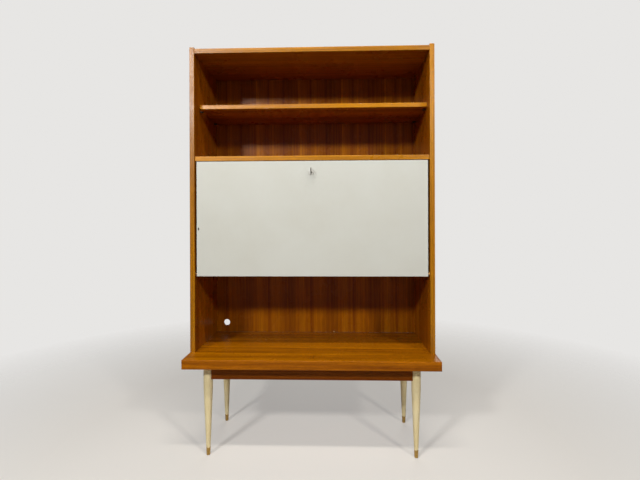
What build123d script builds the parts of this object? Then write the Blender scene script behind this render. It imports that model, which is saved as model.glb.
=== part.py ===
from build123d import *
import os
from math import atan2, cos, degrees, hypot, radians, sin

# Secretary desk: an open wall unit with a drop flap, standing on a bench slab with four legs.
# Millimetres. +Z is up, the front faces -Y, and the origin is on the floor under the slab's middle.
os.makedirs("parts", exist_ok=True)

# bench slab and base
slab_width = 1044.0
slab_depth = 452.0
slab_top = 416.0
slab_thickness = 38.0
slab_lipping = 6.0
slab_edge_radius = 2.0
leg_x = 432.0
leg_front_inset = 66.0
leg_back_inset = 84.0
leg_radius = 19.0
leg_straight_bottom = 285.0
rail_height = 58.0
rail_thickness = 22.0
tenon_thickness = 10.0
tenon_shoulder = 10.0
tenon_stop = 6.0
joint_clearance = 0.1
ferrule_height = 33.0
ferrule_top_radius = 8.7
ferrule_bottom_radius = 7.5
ferrule_wall = 0.8
ferrule_chamfer = 0.6
ferrule_gap = 0.05
glide_radius = 5.0
glide_height = 1.5
glide_chamfer = 0.5

# upper cabinet
cabinet_width = 1040.0
cabinet_depth = 352.0
cabinet_top = 1721.0
board = 20.0
lipping = 5.0
edge_radius = 1.0
back_thickness = 6.0
rebate_width = 10.0
rebate_slack = 0.5
back_foot_gap = 1.0
top_board_top = 1715.5
top_board_recess = 2.0
fixed_shelf_top = 1255.5
front_recess = 8.0
loose_shelf_top = 1487.5
loose_shelf_thickness = 18.0
loose_shelf_recess = 50.0
loose_shelf_depth = 290.0
loose_shelf_width = 991.0
loose_shelf_shift = 3.9
cable_hole_radius = 15.5
cable_hole_inset = 50.0
cable_hole_height = 48.5
inner_shelf_bottom = 1022.0
inner_board = 12.0
inner_shelf_depth = 200.0
divider_x = 166.0
divider_recess = 3.0

# drop flap, its pivots, stays and lock
flap_width = 986.0
flap_bottom = 741.0
flap_top = 1233.0
flap_thickness = 19.0
laminate = 1.0
heel_gap = 2.0
pivot_pin_radius = 3.0
pivot_fit = 0.05
bush_radius = 5.0
bush_flange_radius = 7.5
bush_length = 13.0
bush_flange = 1.5
stay_foot_back = 21.5
stay_foot_up = 168.6
stay_closed_angle = 28.0
stay_swing = 90.0
arm_width = 16.0
arm_thickness = 2.0
arm_x = 486.0
arm_end_margin = 5.0
slot_width = 7.0
stud_radius = 3.0
lock_z = 1186.0
bolt_travel = 8.0

# screws, and the small gaps and margins that several pieces share
wood_screw_head = 2.8
wood_screw_shank = 1.4
back_screw_head_height = 1.5
back_screw_length = 20.0
strike_screw_head_height = 0.6
strike_screw_shank = 1.5
strike_screw_length = 13.0
bracket_screw_head_height = 1.0
bracket_screw_length = 14.0
cabinet_screw_head = 6.0
cabinet_screw_head_height = 3.0
cabinet_screw_shank = 3.0
cabinet_screw_bite = 40.0
slab_screw_head = 4.0
slab_screw_head_height = 2.0
slab_screw_shank = 2.0
slab_screw_length = 75.0
lock_screw_head = 2.6
lock_screw_head_height = 0.8
lock_screw_length = 15.0
moving_gap = 0.4
cut_margin = 1.0

# worked out from the dimensions above
slab_front = -slab_depth / 2
slab_back = slab_depth / 2
slab_bottom = slab_top - slab_thickness
cabinet_back = slab_back
cabinet_front = cabinet_back - cabinet_depth
cabinet_half = cabinet_width / 2
inner_half = cabinet_half - board
back_face = cabinet_back - back_thickness
recessed_front = cabinet_front + front_recess
fixed_shelf_bottom = fixed_shelf_top - board
rail_bottom = slab_bottom - rail_height
flap_front = recessed_front
flap_back = flap_front + flap_thickness
flap_half = flap_width / 2
pivot_y = (flap_front + flap_back) / 2
pivot_z = flap_bottom + flap_thickness / 2
floor_top = flap_bottom + flap_thickness
floor_front = flap_back + heel_gap
loose_shelf_bottom = loose_shelf_top - loose_shelf_thickness
loose_shelf_front = cabinet_front + loose_shelf_recess
loose_shelf_back = loose_shelf_front + loose_shelf_depth
loose_shelf_x = (loose_shelf_shift - loose_shelf_width / 2, loose_shelf_shift + loose_shelf_width / 2)
front_leg_y = slab_front + leg_front_inset
back_leg_y = slab_back - leg_back_inset
base_y = (front_leg_y + back_leg_y) / 2
leg_half_y = (back_leg_y - front_leg_y) / 2
inner_shelf_top = inner_shelf_bottom + inner_board
inner_shelf_front = back_face - inner_shelf_depth

# The stay's foot on the flap and its stud on the side stand at the same distance from the pivot,
# so the arm always turns half as far as the flap.
stay_reach = hypot(stay_foot_back, stay_foot_up)
foot_angle = degrees(atan2(stay_foot_up, stay_foot_back))
stud_angle = foot_angle - stay_closed_angle
foot_y = pivot_y + stay_foot_back
foot_z = pivot_z + stay_foot_up
stud_y = pivot_y + stay_reach * cos(radians(stud_angle))
stud_z = pivot_z + stay_reach * sin(radians(stud_angle))
arm_closed = 2 * stay_reach * sin(radians(stay_closed_angle / 2))
arm_open = 2 * stay_reach * sin(radians((stay_closed_angle + stay_swing) / 2))
arm_tilt = degrees(atan2(stud_z - foot_z, stud_y - foot_y))


def save(piece, label):
    piece.part.label = label
    export_step(piece.part, f"parts/{label}.step")


def add_box(x_span, y_span, z_span, mode=Mode.ADD):
    with BuildSketch(Plane.XY.offset(z_span[0])) as outline:
        with Locations(((x_span[0] + x_span[1]) / 2, (y_span[0] + y_span[1]) / 2)):
            Rectangle(x_span[1] - x_span[0], y_span[1] - y_span[0])
    extrude(outline.sketch, amount=z_span[1] - z_span[0], mode=mode)


def add_rod(plane, centre, radius, length, mode=Mode.ADD):
    with BuildSketch(plane) as outline:
        with Locations(centre):
            Circle(radius)
    extrude(outline.sketch, amount=length, mode=mode)


def side_span(side, inner, outer):
    return tuple(sorted((side * inner, side * outer)))


def base_span(y_side, inner, outer):
    return tuple(sorted((base_y + y_side * inner, base_y + y_side * outer)))


def side_plane(side, distance):
    # local x is +Y, local y is +Z, and extrusion runs outwards on either side
    if side > 0:
        return Plane.YZ.offset(distance)
    return Plane(origin=(-distance, 0, 0), x_dir=(0, -1, 0), z_dir=(-1, 0, 0))


def side_point(side, y, z):
    return (side * y, z)


sides = ((-1, "left"), (1, "right"))
corners = ((-1, -1, "front_left"), (1, -1, "front_right"), (-1, 1, "back_left"), (1, 1, "back_right"))

# ---- shelf pins and where they stand ----
pin_radius = 2.5
pin_head_radius = 4.0
pin_depth = 10.0
pin_reach = 14.0
pin_inset = 35.0
pin_z = loose_shelf_bottom - pin_head_radius
pin_ys = (loose_shelf_front + pin_inset, loose_shelf_back - pin_inset)

with BuildPart() as shelf_pins:
    for side, _ in sides:
        for pin_y in pin_ys:
            centre = side_point(side, pin_y, pin_z)
            add_rod(side_plane(side, inner_half - pin_reach), centre, pin_head_radius, pin_reach)
            add_rod(side_plane(side, inner_half), centre, pin_radius, pin_depth)
save(shelf_pins, "shelf_pins")

# ---- side panels with their solid front lippings ----
for side, name in sides:
    with BuildPart() as side_panel:
        add_box(
            side_span(side, inner_half, cabinet_half),
            (cabinet_front + lipping, cabinet_back),
            (slab_top, cabinet_top),
        )
        add_box(
            side_span(side, inner_half, inner_half + rebate_width),
            (back_face, cabinet_back),
            (slab_top, cabinet_top),
            Mode.SUBTRACT,
        )
        pivot = side_point(side, pivot_y, pivot_z)
        bush_seat = bush_radius + pivot_fit
        add_rod(side_plane(side, inner_half), pivot, bush_seat, bush_length, Mode.SUBTRACT)
        for pin_y in pin_ys:
            centre = side_point(side, pin_y, pin_z)
            seat = pin_radius + pivot_fit
            add_rod(side_plane(side, inner_half), centre, seat, pin_depth + cut_margin, Mode.SUBTRACT)
        top_edges = side_panel.faces().sort_by(Axis.Z)[-1].edges().filter_by(Axis.Y)
        chamfer(top_edges, edge_radius / 2)
    save(side_panel, f"side_panel_{name}")

    with BuildPart() as side_lipping:
        add_box(
            side_span(side, inner_half, cabinet_half),
            (cabinet_front, cabinet_front + lipping),
            (slab_top, cabinet_top),
        )
        fillet(side_lipping.faces().sort_by(Axis.Y)[0].edges().filter_by(Axis.Z), edge_radius)
    save(side_lipping, f"side_lipping_{name}")

# ---- top board ----
top_board_front = cabinet_front + top_board_recess
with BuildPart() as top_board:
    add_box(
        (-inner_half, inner_half),
        (top_board_front + lipping, back_face),
        (top_board_top - board, top_board_top),
    )
save(top_board, "top_board")

with BuildPart() as top_board_lipping:
    add_box(
        (-inner_half, inner_half),
        (top_board_front, top_board_front + lipping),
        (top_board_top - board, top_board_top),
    )
    fillet(top_board_lipping.faces().sort_by(Axis.Y)[0].edges().filter_by(Axis.X), edge_radius)
save(top_board_lipping, "top_board_lipping")

# ---- fixed shelf over the flap, with the mortise and seat for the lock's strike ----
strike_y = flap_back - 3.2
strike_length = 54.0
strike_width = 13.0
strike_thickness = 1.5
mortise_length = 22.0
mortise_width = 5.0
mortise_depth = 11.0
strike_screw_x = 20.0
with BuildPart() as fixed_shelf:
    add_box(
        (-inner_half, inner_half),
        (recessed_front + lipping, back_face),
        (fixed_shelf_bottom, fixed_shelf_top),
    )
    add_box(
        (-strike_length / 2, strike_length / 2),
        (strike_y - strike_width / 2, strike_y + strike_width / 2),
        (fixed_shelf_bottom, fixed_shelf_bottom + strike_thickness),
        Mode.SUBTRACT,
    )
    add_box(
        (-mortise_length / 2, mortise_length / 2),
        (strike_y - mortise_width / 2, strike_y + mortise_width / 2),
        (fixed_shelf_bottom, fixed_shelf_bottom + mortise_depth),
        Mode.SUBTRACT,
    )
save(fixed_shelf, "fixed_shelf")

with BuildPart() as fixed_shelf_lipping:
    add_box(
        (-inner_half, inner_half),
        (recessed_front, recessed_front + lipping),
        (fixed_shelf_bottom, fixed_shelf_top),
    )
    front_edges = fixed_shelf_lipping.faces().sort_by(Axis.Y)[0].edges().filter_by(Axis.X)
    fillet(front_edges, edge_radius)
save(fixed_shelf_lipping, "fixed_shelf_lipping")

with BuildPart() as strike_plate:
    add_box(
        (-strike_length / 2, strike_length / 2),
        (strike_y - strike_width / 2, strike_y + strike_width / 2),
        (fixed_shelf_bottom, fixed_shelf_bottom + strike_thickness),
    )
    add_box(
        (-mortise_length / 2, mortise_length / 2),
        (strike_y - mortise_width / 2, strike_y + mortise_width / 2),
        (fixed_shelf_bottom, fixed_shelf_bottom + strike_thickness),
        Mode.SUBTRACT,
    )
save(strike_plate, "strike_plate")

with BuildPart() as strike_screws:
    for screw_x in (-strike_screw_x, strike_screw_x):
        place = (screw_x, strike_y)
        head_plane = Plane.XY.offset(fixed_shelf_bottom - strike_screw_head_height)
        add_rod(head_plane, place, wood_screw_head, strike_screw_head_height)
        add_rod(Plane.XY.offset(fixed_shelf_bottom), place, strike_screw_shank, strike_screw_length)
save(strike_screws, "strike_screws")

# ---- writing floor, the loose shelf and the small shelf with its two dividers ----
with BuildPart() as writing_floor:
    add_box((-inner_half, inner_half), (floor_front, back_face), (flap_bottom, floor_top))
    front_edges = writing_floor.faces().sort_by(Axis.Y)[0].edges().filter_by(Axis.X)
    fillet(front_edges, edge_radius)
save(writing_floor, "writing_floor")

with BuildPart() as adjustable_shelf:
    add_box(
        loose_shelf_x,
        (loose_shelf_front + lipping, loose_shelf_back),
        (loose_shelf_bottom, loose_shelf_top),
    )
save(adjustable_shelf, "adjustable_shelf")

with BuildPart() as adjustable_shelf_lipping:
    add_box(
        loose_shelf_x,
        (loose_shelf_front, loose_shelf_front + lipping),
        (loose_shelf_bottom, loose_shelf_top),
    )
    front_edges = adjustable_shelf_lipping.faces().sort_by(Axis.Y)[0].edges()
    fillet(front_edges, edge_radius)
save(adjustable_shelf_lipping, "adjustable_shelf_lipping")

with BuildPart() as inner_shelf:
    add_box(
        (-inner_half, inner_half),
        (inner_shelf_front, back_face),
        (inner_shelf_bottom, inner_shelf_top),
    )
    fillet(inner_shelf.faces().sort_by(Axis.Y)[0].edges().filter_by(Axis.X), edge_radius)
save(inner_shelf, "inner_shelf")

for side, name in sides:
    with BuildPart() as inner_divider:
        add_box(
            side_span(side, divider_x - inner_board / 2, divider_x + inner_board / 2),
            (inner_shelf_front + divider_recess, back_face),
            (inner_shelf_top, fixed_shelf_bottom),
        )
        fillet(inner_divider.faces().sort_by(Axis.Y)[0].edges().filter_by(Axis.Z), edge_radius)
    save(inner_divider, f"inner_divider_{name}")

# ---- back panel with the cable hole, and the screws that hold it ----
back_half = inner_half + rebate_width - rebate_slack
back_bottom = slab_top + back_foot_gap
cable_hole_x = cable_hole_inset - inner_half
cable_hole_z = slab_top + cable_hole_height
rear_plane = Plane(origin=(0, cabinet_back, 0), x_dir=(1, 0, 0), z_dir=(0, -1, 0))
with BuildPart() as back_panel:
    add_box((-back_half, back_half), (back_face, cabinet_back), (back_bottom, top_board_top))
    hole_centre = (cable_hole_x, cable_hole_z)
    add_rod(rear_plane, hole_centre, cable_hole_radius, back_thickness, Mode.SUBTRACT)
save(back_panel, "back_panel")

back_screw_xs = (-440.0, -220.0, 0.0, 220.0, 440.0)
back_screw_rows = (
    top_board_top - board / 2,
    fixed_shelf_top - board / 2,
    flap_bottom + flap_thickness / 2,
)
side_screw_x = inner_half + rebate_width / 2
side_screw_zs = (480.0, 640.0, 880.0, 1110.0, 1370.0, 1600.0)
with BuildPart() as back_screws:
    screw_points = [(x, z) for z in back_screw_rows for x in back_screw_xs]
    screw_points += [(side * side_screw_x, z) for side, _ in sides for z in side_screw_zs]
    for screw_point in screw_points:
        add_rod(rear_plane, screw_point, wood_screw_head, back_screw_head_height)
        add_rod(rear_plane, screw_point, wood_screw_shank, back_screw_length)
save(back_screws, "back_screws")

# ---- dowels between the boards and the sides ----
dowel_radius = 4.0
dowel_half = 15.0
dowel_ys = (-70.0, 50.0, 170.0)
dowel_zs = (top_board_top - board / 2, fixed_shelf_top - board / 2, flap_bottom + flap_thickness / 2)
with BuildPart() as carcass_dowels:
    for side, _ in sides:
        for dowel_z in dowel_zs:
            for dowel_y in dowel_ys:
                centre = side_point(side, dowel_y, dowel_z)
                plane = side_plane(side, inner_half - dowel_half)
                add_rod(plane, centre, dowel_radius, 2 * dowel_half)
save(carcass_dowels, "carcass_dowels")

# ---- blocks and felt pads that stop the flap when it closes ----
stop_x = 380.0
stop_length = 40.0
stop_height = 18.0
stop_chamfer = 2.0
pad_radius = 6.0
pad_thickness = 2.2
pad_gap = 0.4
stop_front = flap_back + pad_gap + pad_thickness
with BuildPart() as flap_stop_blocks:
    for side, _ in sides:
        add_box(
            side_span(side, stop_x - stop_length / 2, stop_x + stop_length / 2),
            (stop_front, stop_front + board),
            (fixed_shelf_bottom - stop_height, fixed_shelf_bottom),
        )
    chamfer(flap_stop_blocks.faces().group_by(Axis.Z)[0].edges(), stop_chamfer)
save(flap_stop_blocks, "flap_stop_blocks")

with BuildPart() as flap_stop_pads:
    pad_plane = Plane(origin=(0, stop_front, 0), x_dir=(1, 0, 0), z_dir=(0, -1, 0))
    for side, _ in sides:
        centre = (side * stop_x, fixed_shelf_bottom - stop_height / 2)
        add_rod(pad_plane, centre, pad_radius, pad_thickness)
save(flap_stop_pads, "flap_stop_pads")

# ---- bench slab with solid lippings on the front and both ends ----
slab_half = slab_width / 2
with BuildPart() as bench_slab:
    add_box(
        (-slab_half + slab_lipping, slab_half - slab_lipping),
        (slab_front + slab_lipping, slab_back),
        (slab_bottom, slab_top),
    )
save(bench_slab, "bench_slab")

with BuildPart() as slab_lipping_front:
    add_box(
        (-slab_half, slab_half),
        (slab_front, slab_front + slab_lipping),
        (slab_bottom, slab_top),
    )
    fillet(slab_lipping_front.faces().sort_by(Axis.Y)[0].edges(), slab_edge_radius)
save(slab_lipping_front, "slab_lipping_front")

for side, name in sides:
    with BuildPart() as slab_end:
        add_box(
            side_span(side, slab_half - slab_lipping, slab_half),
            (slab_front + slab_lipping, slab_back),
            (slab_bottom, slab_top),
        )
        outer_face = slab_end.faces().sort_by(Axis.X)[0 if side < 0 else -1]
        fillet(outer_face.edges().filter_by(Axis.Y), slab_edge_radius)
    save(slab_end, f"slab_lipping_{name}")

# ---- screws from under the slab up into the cabinet sides ----
cabinet_screw_ys = (-60.0, 160.0)
with BuildPart() as cabinet_screws:
    for side, _ in sides:
        for screw_y in cabinet_screw_ys:
            place = (side * (cabinet_half - board / 2), screw_y)
            head_plane = Plane.XY.offset(slab_bottom - cabinet_screw_head_height)
            add_rod(head_plane, place, cabinet_screw_head, cabinet_screw_head_height)
            shank_length = slab_thickness + cabinet_screw_bite
            add_rod(Plane.XY.offset(slab_bottom), place, cabinet_screw_shank, shank_length)
save(cabinet_screws, "cabinet_screws")

# ---- legs: straight at the rails, then tapering to a brass ferrule ----
ferrule_seat = ferrule_wall + joint_clearance / 2
ferrule_drop = glide_height + ferrule_wall
for x_side, y_side, name in corners:
    leg_y = base_y + y_side * leg_half_y
    leg_plane = Plane(origin=(x_side * leg_x, leg_y, 0), x_dir=(1, 0, 0), z_dir=(0, -1, 0))
    leg_axis = Axis((x_side * leg_x, leg_y, 0), (0, 0, 1))
    with BuildPart() as leg:
        with BuildSketch(leg_plane) as leg_profile:
            Polygon(
                (0, ferrule_drop),
                (ferrule_bottom_radius - ferrule_seat, ferrule_drop),
                (ferrule_top_radius - ferrule_seat, ferrule_height),
                (ferrule_top_radius, ferrule_height),
                (leg_radius, leg_straight_bottom),
                (leg_radius, slab_bottom),
                (0, slab_bottom),
                align=None,
            )
        revolve(leg_profile.sketch, axis=leg_axis)
        mortise_half = tenon_thickness / 2 + joint_clearance
        mortise_z = (
            rail_bottom + tenon_shoulder - joint_clearance,
            slab_bottom - tenon_shoulder + joint_clearance,
        )
        add_box(
            side_span(x_side, leg_x - leg_radius - cut_margin, leg_x - tenon_stop + joint_clearance),
            (leg_y - mortise_half, leg_y + mortise_half),
            mortise_z,
            Mode.SUBTRACT,
        )
        add_box(
            side_span(x_side, leg_x - mortise_half, leg_x + mortise_half),
            base_span(
                y_side,
                leg_half_y - leg_radius - cut_margin,
                leg_half_y - tenon_stop + joint_clearance,
            ),
            mortise_z,
            Mode.SUBTRACT,
        )
    save(leg, f"leg_{name}")

    with BuildPart() as ferrule:
        with BuildSketch(leg_plane) as ferrule_profile:
            Polygon(
                (0, glide_height),
                (ferrule_bottom_radius - ferrule_chamfer, glide_height),
                (ferrule_bottom_radius, glide_height + ferrule_chamfer),
                (ferrule_top_radius, ferrule_height - ferrule_gap),
                (ferrule_top_radius - ferrule_wall, ferrule_height - ferrule_gap),
                (ferrule_bottom_radius - ferrule_wall, ferrule_drop - ferrule_gap),
                (0, ferrule_drop - ferrule_gap),
                align=None,
            )
        revolve(ferrule_profile.sketch, axis=leg_axis)
    save(ferrule, f"ferrule_{name}")

with BuildPart() as floor_glides:
    for x_side, y_side, _ in corners:
        place = (x_side * leg_x, base_y + y_side * leg_half_y)
        add_rod(Plane.XY, place, glide_radius, glide_height)
    chamfer(floor_glides.faces().group_by(Axis.Z)[0].edges(), glide_chamfer)
save(floor_glides, "floor_glides")

# ---- rails, scribed to the round legs and tenoned into them ----
scribe_radius = leg_radius + joint_clearance / 2
tenon_z = (rail_bottom + tenon_shoulder, slab_bottom - tenon_shoulder)
half_rail = rail_thickness / 2
for y_side, name in ((-1, "front_rail"), (1, "back_rail")):
    with BuildPart() as long_rail:
        rail_y = base_span(y_side, leg_half_y - half_rail, leg_half_y + half_rail)
        add_box((-leg_x, leg_x), rail_y, (rail_bottom, slab_bottom))
        for x_side, _ in sides:
            place = (x_side * leg_x, base_y + y_side * leg_half_y)
            plane = Plane.XY.offset(rail_bottom)
            add_rod(plane, place, scribe_radius, rail_height, Mode.SUBTRACT)
        tenon_y = base_span(
            y_side, leg_half_y - tenon_thickness / 2, leg_half_y + tenon_thickness / 2
        )
        add_box((tenon_stop - leg_x, leg_x - tenon_stop), tenon_y, tenon_z)
    save(long_rail, name)

for x_side, name in sides:
    with BuildPart() as short_rail:
        rail_x = side_span(x_side, leg_x - half_rail, leg_x + half_rail)
        add_box(rail_x, (front_leg_y, back_leg_y), (rail_bottom, slab_bottom))
        for y_side in (-1, 1):
            place = (x_side * leg_x, base_y + y_side * leg_half_y)
            plane = Plane.XY.offset(rail_bottom)
            add_rod(plane, place, scribe_radius, rail_height, Mode.SUBTRACT)
        tenon_x = side_span(x_side, leg_x - tenon_thickness / 2, leg_x + tenon_thickness / 2)
        add_box(tenon_x, (front_leg_y + tenon_stop, back_leg_y - tenon_stop), tenon_z)
    save(short_rail, f"side_rail_{name}")

# ---- corner blocks with hanger bolts into the legs and screws into the slab ----
block_near = 12.0
block_far = 52.0
block_height = 50.0
block_z = (slab_bottom - block_height, slab_bottom)
block_corner_x = leg_x - half_rail
block_corner_y = leg_half_y - half_rail
bolt_z = (block_z[0] + block_z[1]) / 2
with BuildPart() as corner_blocks:
    for x_side, y_side, _ in corners:
        with BuildSketch(Plane.XY.offset(block_z[0])) as block_outline:
            Polygon(
                (x_side * block_corner_x, base_y + y_side * (block_corner_y - block_near)),
                (x_side * block_corner_x, base_y + y_side * (block_corner_y - block_far)),
                (x_side * (block_corner_x - block_far), base_y + y_side * block_corner_y),
                (x_side * (block_corner_x - block_near), base_y + y_side * block_corner_y),
                align=None,
            )
        extrude(block_outline.sketch, amount=block_z[1] - block_z[0])
save(corner_blocks, "corner_blocks")

hanger_radius = 3.0
hanger_length = 62.0
hanger_stand_out = 12.0
nut_radius = 5.8
nut_height = 5.0
washer_radius = 8.0
washer_thickness = 1.4


def bolt_plane(x_side, y_side, beyond_face):
    # stands on the block's inner diagonal face, looking towards the desk's middle
    reach = block_far / 2 + beyond_face / 2**0.5
    return Plane(
        origin=(x_side * (block_corner_x - reach), base_y + y_side * (block_corner_y - reach), bolt_z),
        x_dir=(0, 0, 1),
        z_dir=(-x_side, -y_side, 0),
    )


with BuildPart() as hanger_bolts:
    for x_side, y_side, _ in corners:
        add_rod(bolt_plane(x_side, y_side, hanger_stand_out), (0, 0), hanger_radius, -hanger_length)
save(hanger_bolts, "hanger_bolts")

with BuildPart() as hanger_nuts:
    for x_side, y_side, _ in corners:
        add_rod(bolt_plane(x_side, y_side, 0.0), (0, 0), washer_radius, washer_thickness)
        with BuildSketch(bolt_plane(x_side, y_side, washer_thickness)) as nut_outline:
            RegularPolygon(nut_radius, 6)
        extrude(nut_outline.sketch, amount=nut_height)
        bore = hanger_radius + pivot_fit
        add_rod(bolt_plane(x_side, y_side, 0.0), (0, 0), bore, hanger_stand_out, Mode.SUBTRACT)
save(hanger_nuts, "hanger_nuts")

slab_screw_inset = 13.0
slab_screw_along = 28.0
screw_inset_pairs = ((slab_screw_inset, slab_screw_along), (slab_screw_along, slab_screw_inset))
with BuildPart() as slab_screws:
    for x_side, y_side, _ in corners:
        for along_x, along_y in screw_inset_pairs:
            place = (
                x_side * (block_corner_x - along_x),
                base_y + y_side * (block_corner_y - along_y),
            )
            head_plane = Plane.XY.offset(block_z[0] - slab_screw_head_height)
            add_rod(head_plane, place, slab_screw_head, slab_screw_head_height)
            add_rod(Plane.XY.offset(block_z[0]), place, slab_screw_shank, slab_screw_length)
save(slab_screws, "slab_screws")

# ---- drop flap ----
case_width = 60.0
case_height = 64.0
case_depth = 12.0
case_wall = 1.2
face_plate_thickness = 1.5
case_top = flap_top - face_plate_thickness
case_bottom = case_top - case_height
case_front = flap_back - case_depth
keyhole_radius = 3.4
key_slot_width = 3.4
key_slot_drop = 9.0
pivot_flange_radius = 7.0
pivot_flange = 1.5
pivot_root = 12.0
laminate_chamfer = 0.4
core_front = flap_front + laminate
front_plane = Plane(origin=(0, flap_front, 0), x_dir=(1, 0, 0), z_dir=(0, -1, 0))


def cut_keyhole(front_y, depth):
    # the round hole for the shank and the slot below it for the bit
    plane = Plane(origin=(0, front_y, 0), x_dir=(1, 0, 0), z_dir=(0, -1, 0))
    add_rod(plane, (0, lock_z), keyhole_radius, -depth, Mode.SUBTRACT)
    add_box(
        (-key_slot_width / 2, key_slot_width / 2),
        (front_y, front_y + depth),
        (lock_z - key_slot_drop, lock_z),
        Mode.SUBTRACT,
    )


with BuildPart() as flap_panel:
    with BuildSketch(Plane.YZ.offset(-flap_half)) as flap_section:
        with BuildLine():
            Polyline(
                (flap_back, pivot_z),
                (flap_back, flap_top),
                (core_front, flap_top),
                (core_front, flap_bottom),
                (pivot_y, flap_bottom),
            )
            RadiusArc((pivot_y, flap_bottom), (flap_back, pivot_z), -flap_thickness / 2)
        make_face()
    extrude(flap_section.sketch, amount=flap_width)
    add_box(
        (-case_width / 2, case_width / 2),
        (case_front, flap_back),
        (case_bottom, flap_top),
        Mode.SUBTRACT,
    )
    cut_keyhole(core_front, case_front - core_front)
    for side, _ in sides:
        pivot = side_point(side, pivot_y, pivot_z)
        seat_plane = side_plane(side, flap_half - pivot_flange)
        root_plane = side_plane(side, flap_half - pivot_root)
        add_rod(seat_plane, pivot, pivot_flange_radius + pivot_fit, pivot_flange, Mode.SUBTRACT)
        add_rod(root_plane, pivot, pivot_pin_radius + pivot_fit, pivot_root, Mode.SUBTRACT)
save(flap_panel, "flap_panel")

with BuildPart() as flap_front_laminate:
    add_box((-flap_half, flap_half), (flap_front, core_front), (flap_bottom, flap_top))
    cut_keyhole(flap_front, laminate)
    chamfer(flap_front_laminate.faces().sort_by(Axis.Y)[0].outer_wire().edges(), laminate_chamfer)
save(flap_front_laminate, "flap_front_laminate")

# ---- pivots: a flanged pin in each end of the flap, turning in a flanged bush in the side ----
pin_length = 15.0
with BuildPart() as pivot_pins:
    for side, _ in sides:
        pivot = side_point(side, pivot_y, pivot_z)
        add_rod(side_plane(side, flap_half - pivot_root), pivot, pivot_pin_radius, pivot_root + pin_length)
        add_rod(side_plane(side, flap_half - pivot_flange), pivot, pivot_flange_radius, pivot_flange)
save(pivot_pins, "pivot_pins")

with BuildPart() as pivot_bushes:
    for side, _ in sides:
        pivot = side_point(side, pivot_y, pivot_z)
        add_rod(side_plane(side, inner_half), pivot, bush_radius, bush_length)
        add_rod(side_plane(side, inner_half - bush_flange), pivot, bush_flange_radius, bush_flange)
        bore_plane = side_plane(side, inner_half - bush_flange)
        add_rod(bore_plane, pivot, pivot_pin_radius + pivot_fit, bush_length, Mode.SUBTRACT)
save(pivot_bushes, "pivot_bushes")

# ---- slotted stays: a bracket and rivet on the flap, a stud on the side, an arm between ----
bracket_x = arm_x - arm_thickness - moving_gap
bracket_half = 14.0
bracket_width = 20.0
bracket_thickness = 2.0
ear_margin = 6.0
ear_thickness = 2.0
bracket_screw_half = 9.0
bracket_screw_inset = 12.0
with BuildPart() as stay_brackets:
    for side, _ in sides:
        add_box(
            side_span(side, bracket_x - bracket_width, bracket_x),
            (flap_back, flap_back + bracket_thickness),
            (foot_z - bracket_half, foot_z + bracket_half),
        )
        ear_plane = side_plane(side, bracket_x - ear_thickness)
        with BuildSketch(ear_plane) as ear_outline:
            with Locations(side_point(side, (flap_back + foot_y) / 2, foot_z)):
                Rectangle(foot_y - flap_back, 2 * (bracket_half - ear_margin))
            with Locations(side_point(side, foot_y, foot_z)):
                Circle(bracket_half - ear_margin)
        extrude(ear_outline.sketch, amount=ear_thickness)
        rivet = side_point(side, foot_y, foot_z)
        add_rod(ear_plane, rivet, stud_radius + pivot_fit, ear_thickness, Mode.SUBTRACT)
save(stay_brackets, "stay_brackets")

with BuildPart() as bracket_screws:
    screw_y = flap_back + bracket_thickness
    screw_plane = Plane(origin=(0, screw_y, 0), x_dir=(1, 0, 0), z_dir=(0, -1, 0))
    for side, _ in sides:
        for screw_z in (foot_z - bracket_screw_half, foot_z + bracket_screw_half):
            place = (side * (bracket_x - bracket_screw_inset), screw_z)
            add_rod(screw_plane, place, wood_screw_head, -bracket_screw_head_height)
            add_rod(screw_plane, place, wood_screw_shank, bracket_screw_length)
save(bracket_screws, "bracket_screws")

rivet_head_radius = 5.0
rivet_head = 1.5
with BuildPart() as stay_rivets:
    for side, _ in sides:
        rivet = side_point(side, foot_y, foot_z)
        inner_head = bracket_x - ear_thickness - rivet_head
        outer_head = arm_x + moving_gap
        add_rod(side_plane(side, inner_head), rivet, rivet_head_radius, rivet_head)
        add_rod(side_plane(side, inner_head), rivet, stud_radius, outer_head - inner_head)
        add_rod(side_plane(side, outer_head), rivet, rivet_head_radius, rivet_head)
save(stay_rivets, "stay_rivets")

slot_play = 1.5
slot_start = arm_closed - stud_radius - slot_play
slot_end = arm_open + stud_radius + slot_play
arm_length = slot_end + arm_end_margin
for side, name in sides:
    with BuildPart() as stay_arm:
        arm_plane = Plane(
            origin=(side * (arm_x - arm_thickness), foot_y, foot_z),
            x_dir=(0, cos(radians(arm_tilt)), sin(radians(arm_tilt))),
            z_dir=(side, 0, 0),
        )
        with BuildSketch(arm_plane) as arm_outline:
            with Locations((arm_length / 2, 0)):
                SlotCenterToCenter(arm_length, arm_width)
            with Locations(((slot_start + slot_end) / 2, 0)):
                SlotOverall(slot_end - slot_start, slot_width, mode=Mode.SUBTRACT)
            Circle(stud_radius + pivot_fit, mode=Mode.SUBTRACT)
        extrude(arm_outline.sketch, amount=arm_thickness)
    save(stay_arm, f"stay_arm_{name}")

stud_collar_radius = 7.0
stud_head_radius = 6.0
stud_head = 2.0
stud_length = 30.0
with BuildPart() as stay_studs:
    for side, _ in sides:
        stud = side_point(side, stud_y, stud_z)
        collar_inner = arm_x + moving_gap
        head_inner = arm_x - arm_thickness - moving_gap - stud_head
        add_rod(side_plane(side, collar_inner), stud, stud_collar_radius, inner_half - collar_inner)
        add_rod(side_plane(side, head_inner), stud, stud_radius, stud_length)
        add_rod(side_plane(side, head_inner), stud, stud_head_radius, stud_head)
save(stay_studs, "stay_studs")

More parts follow.
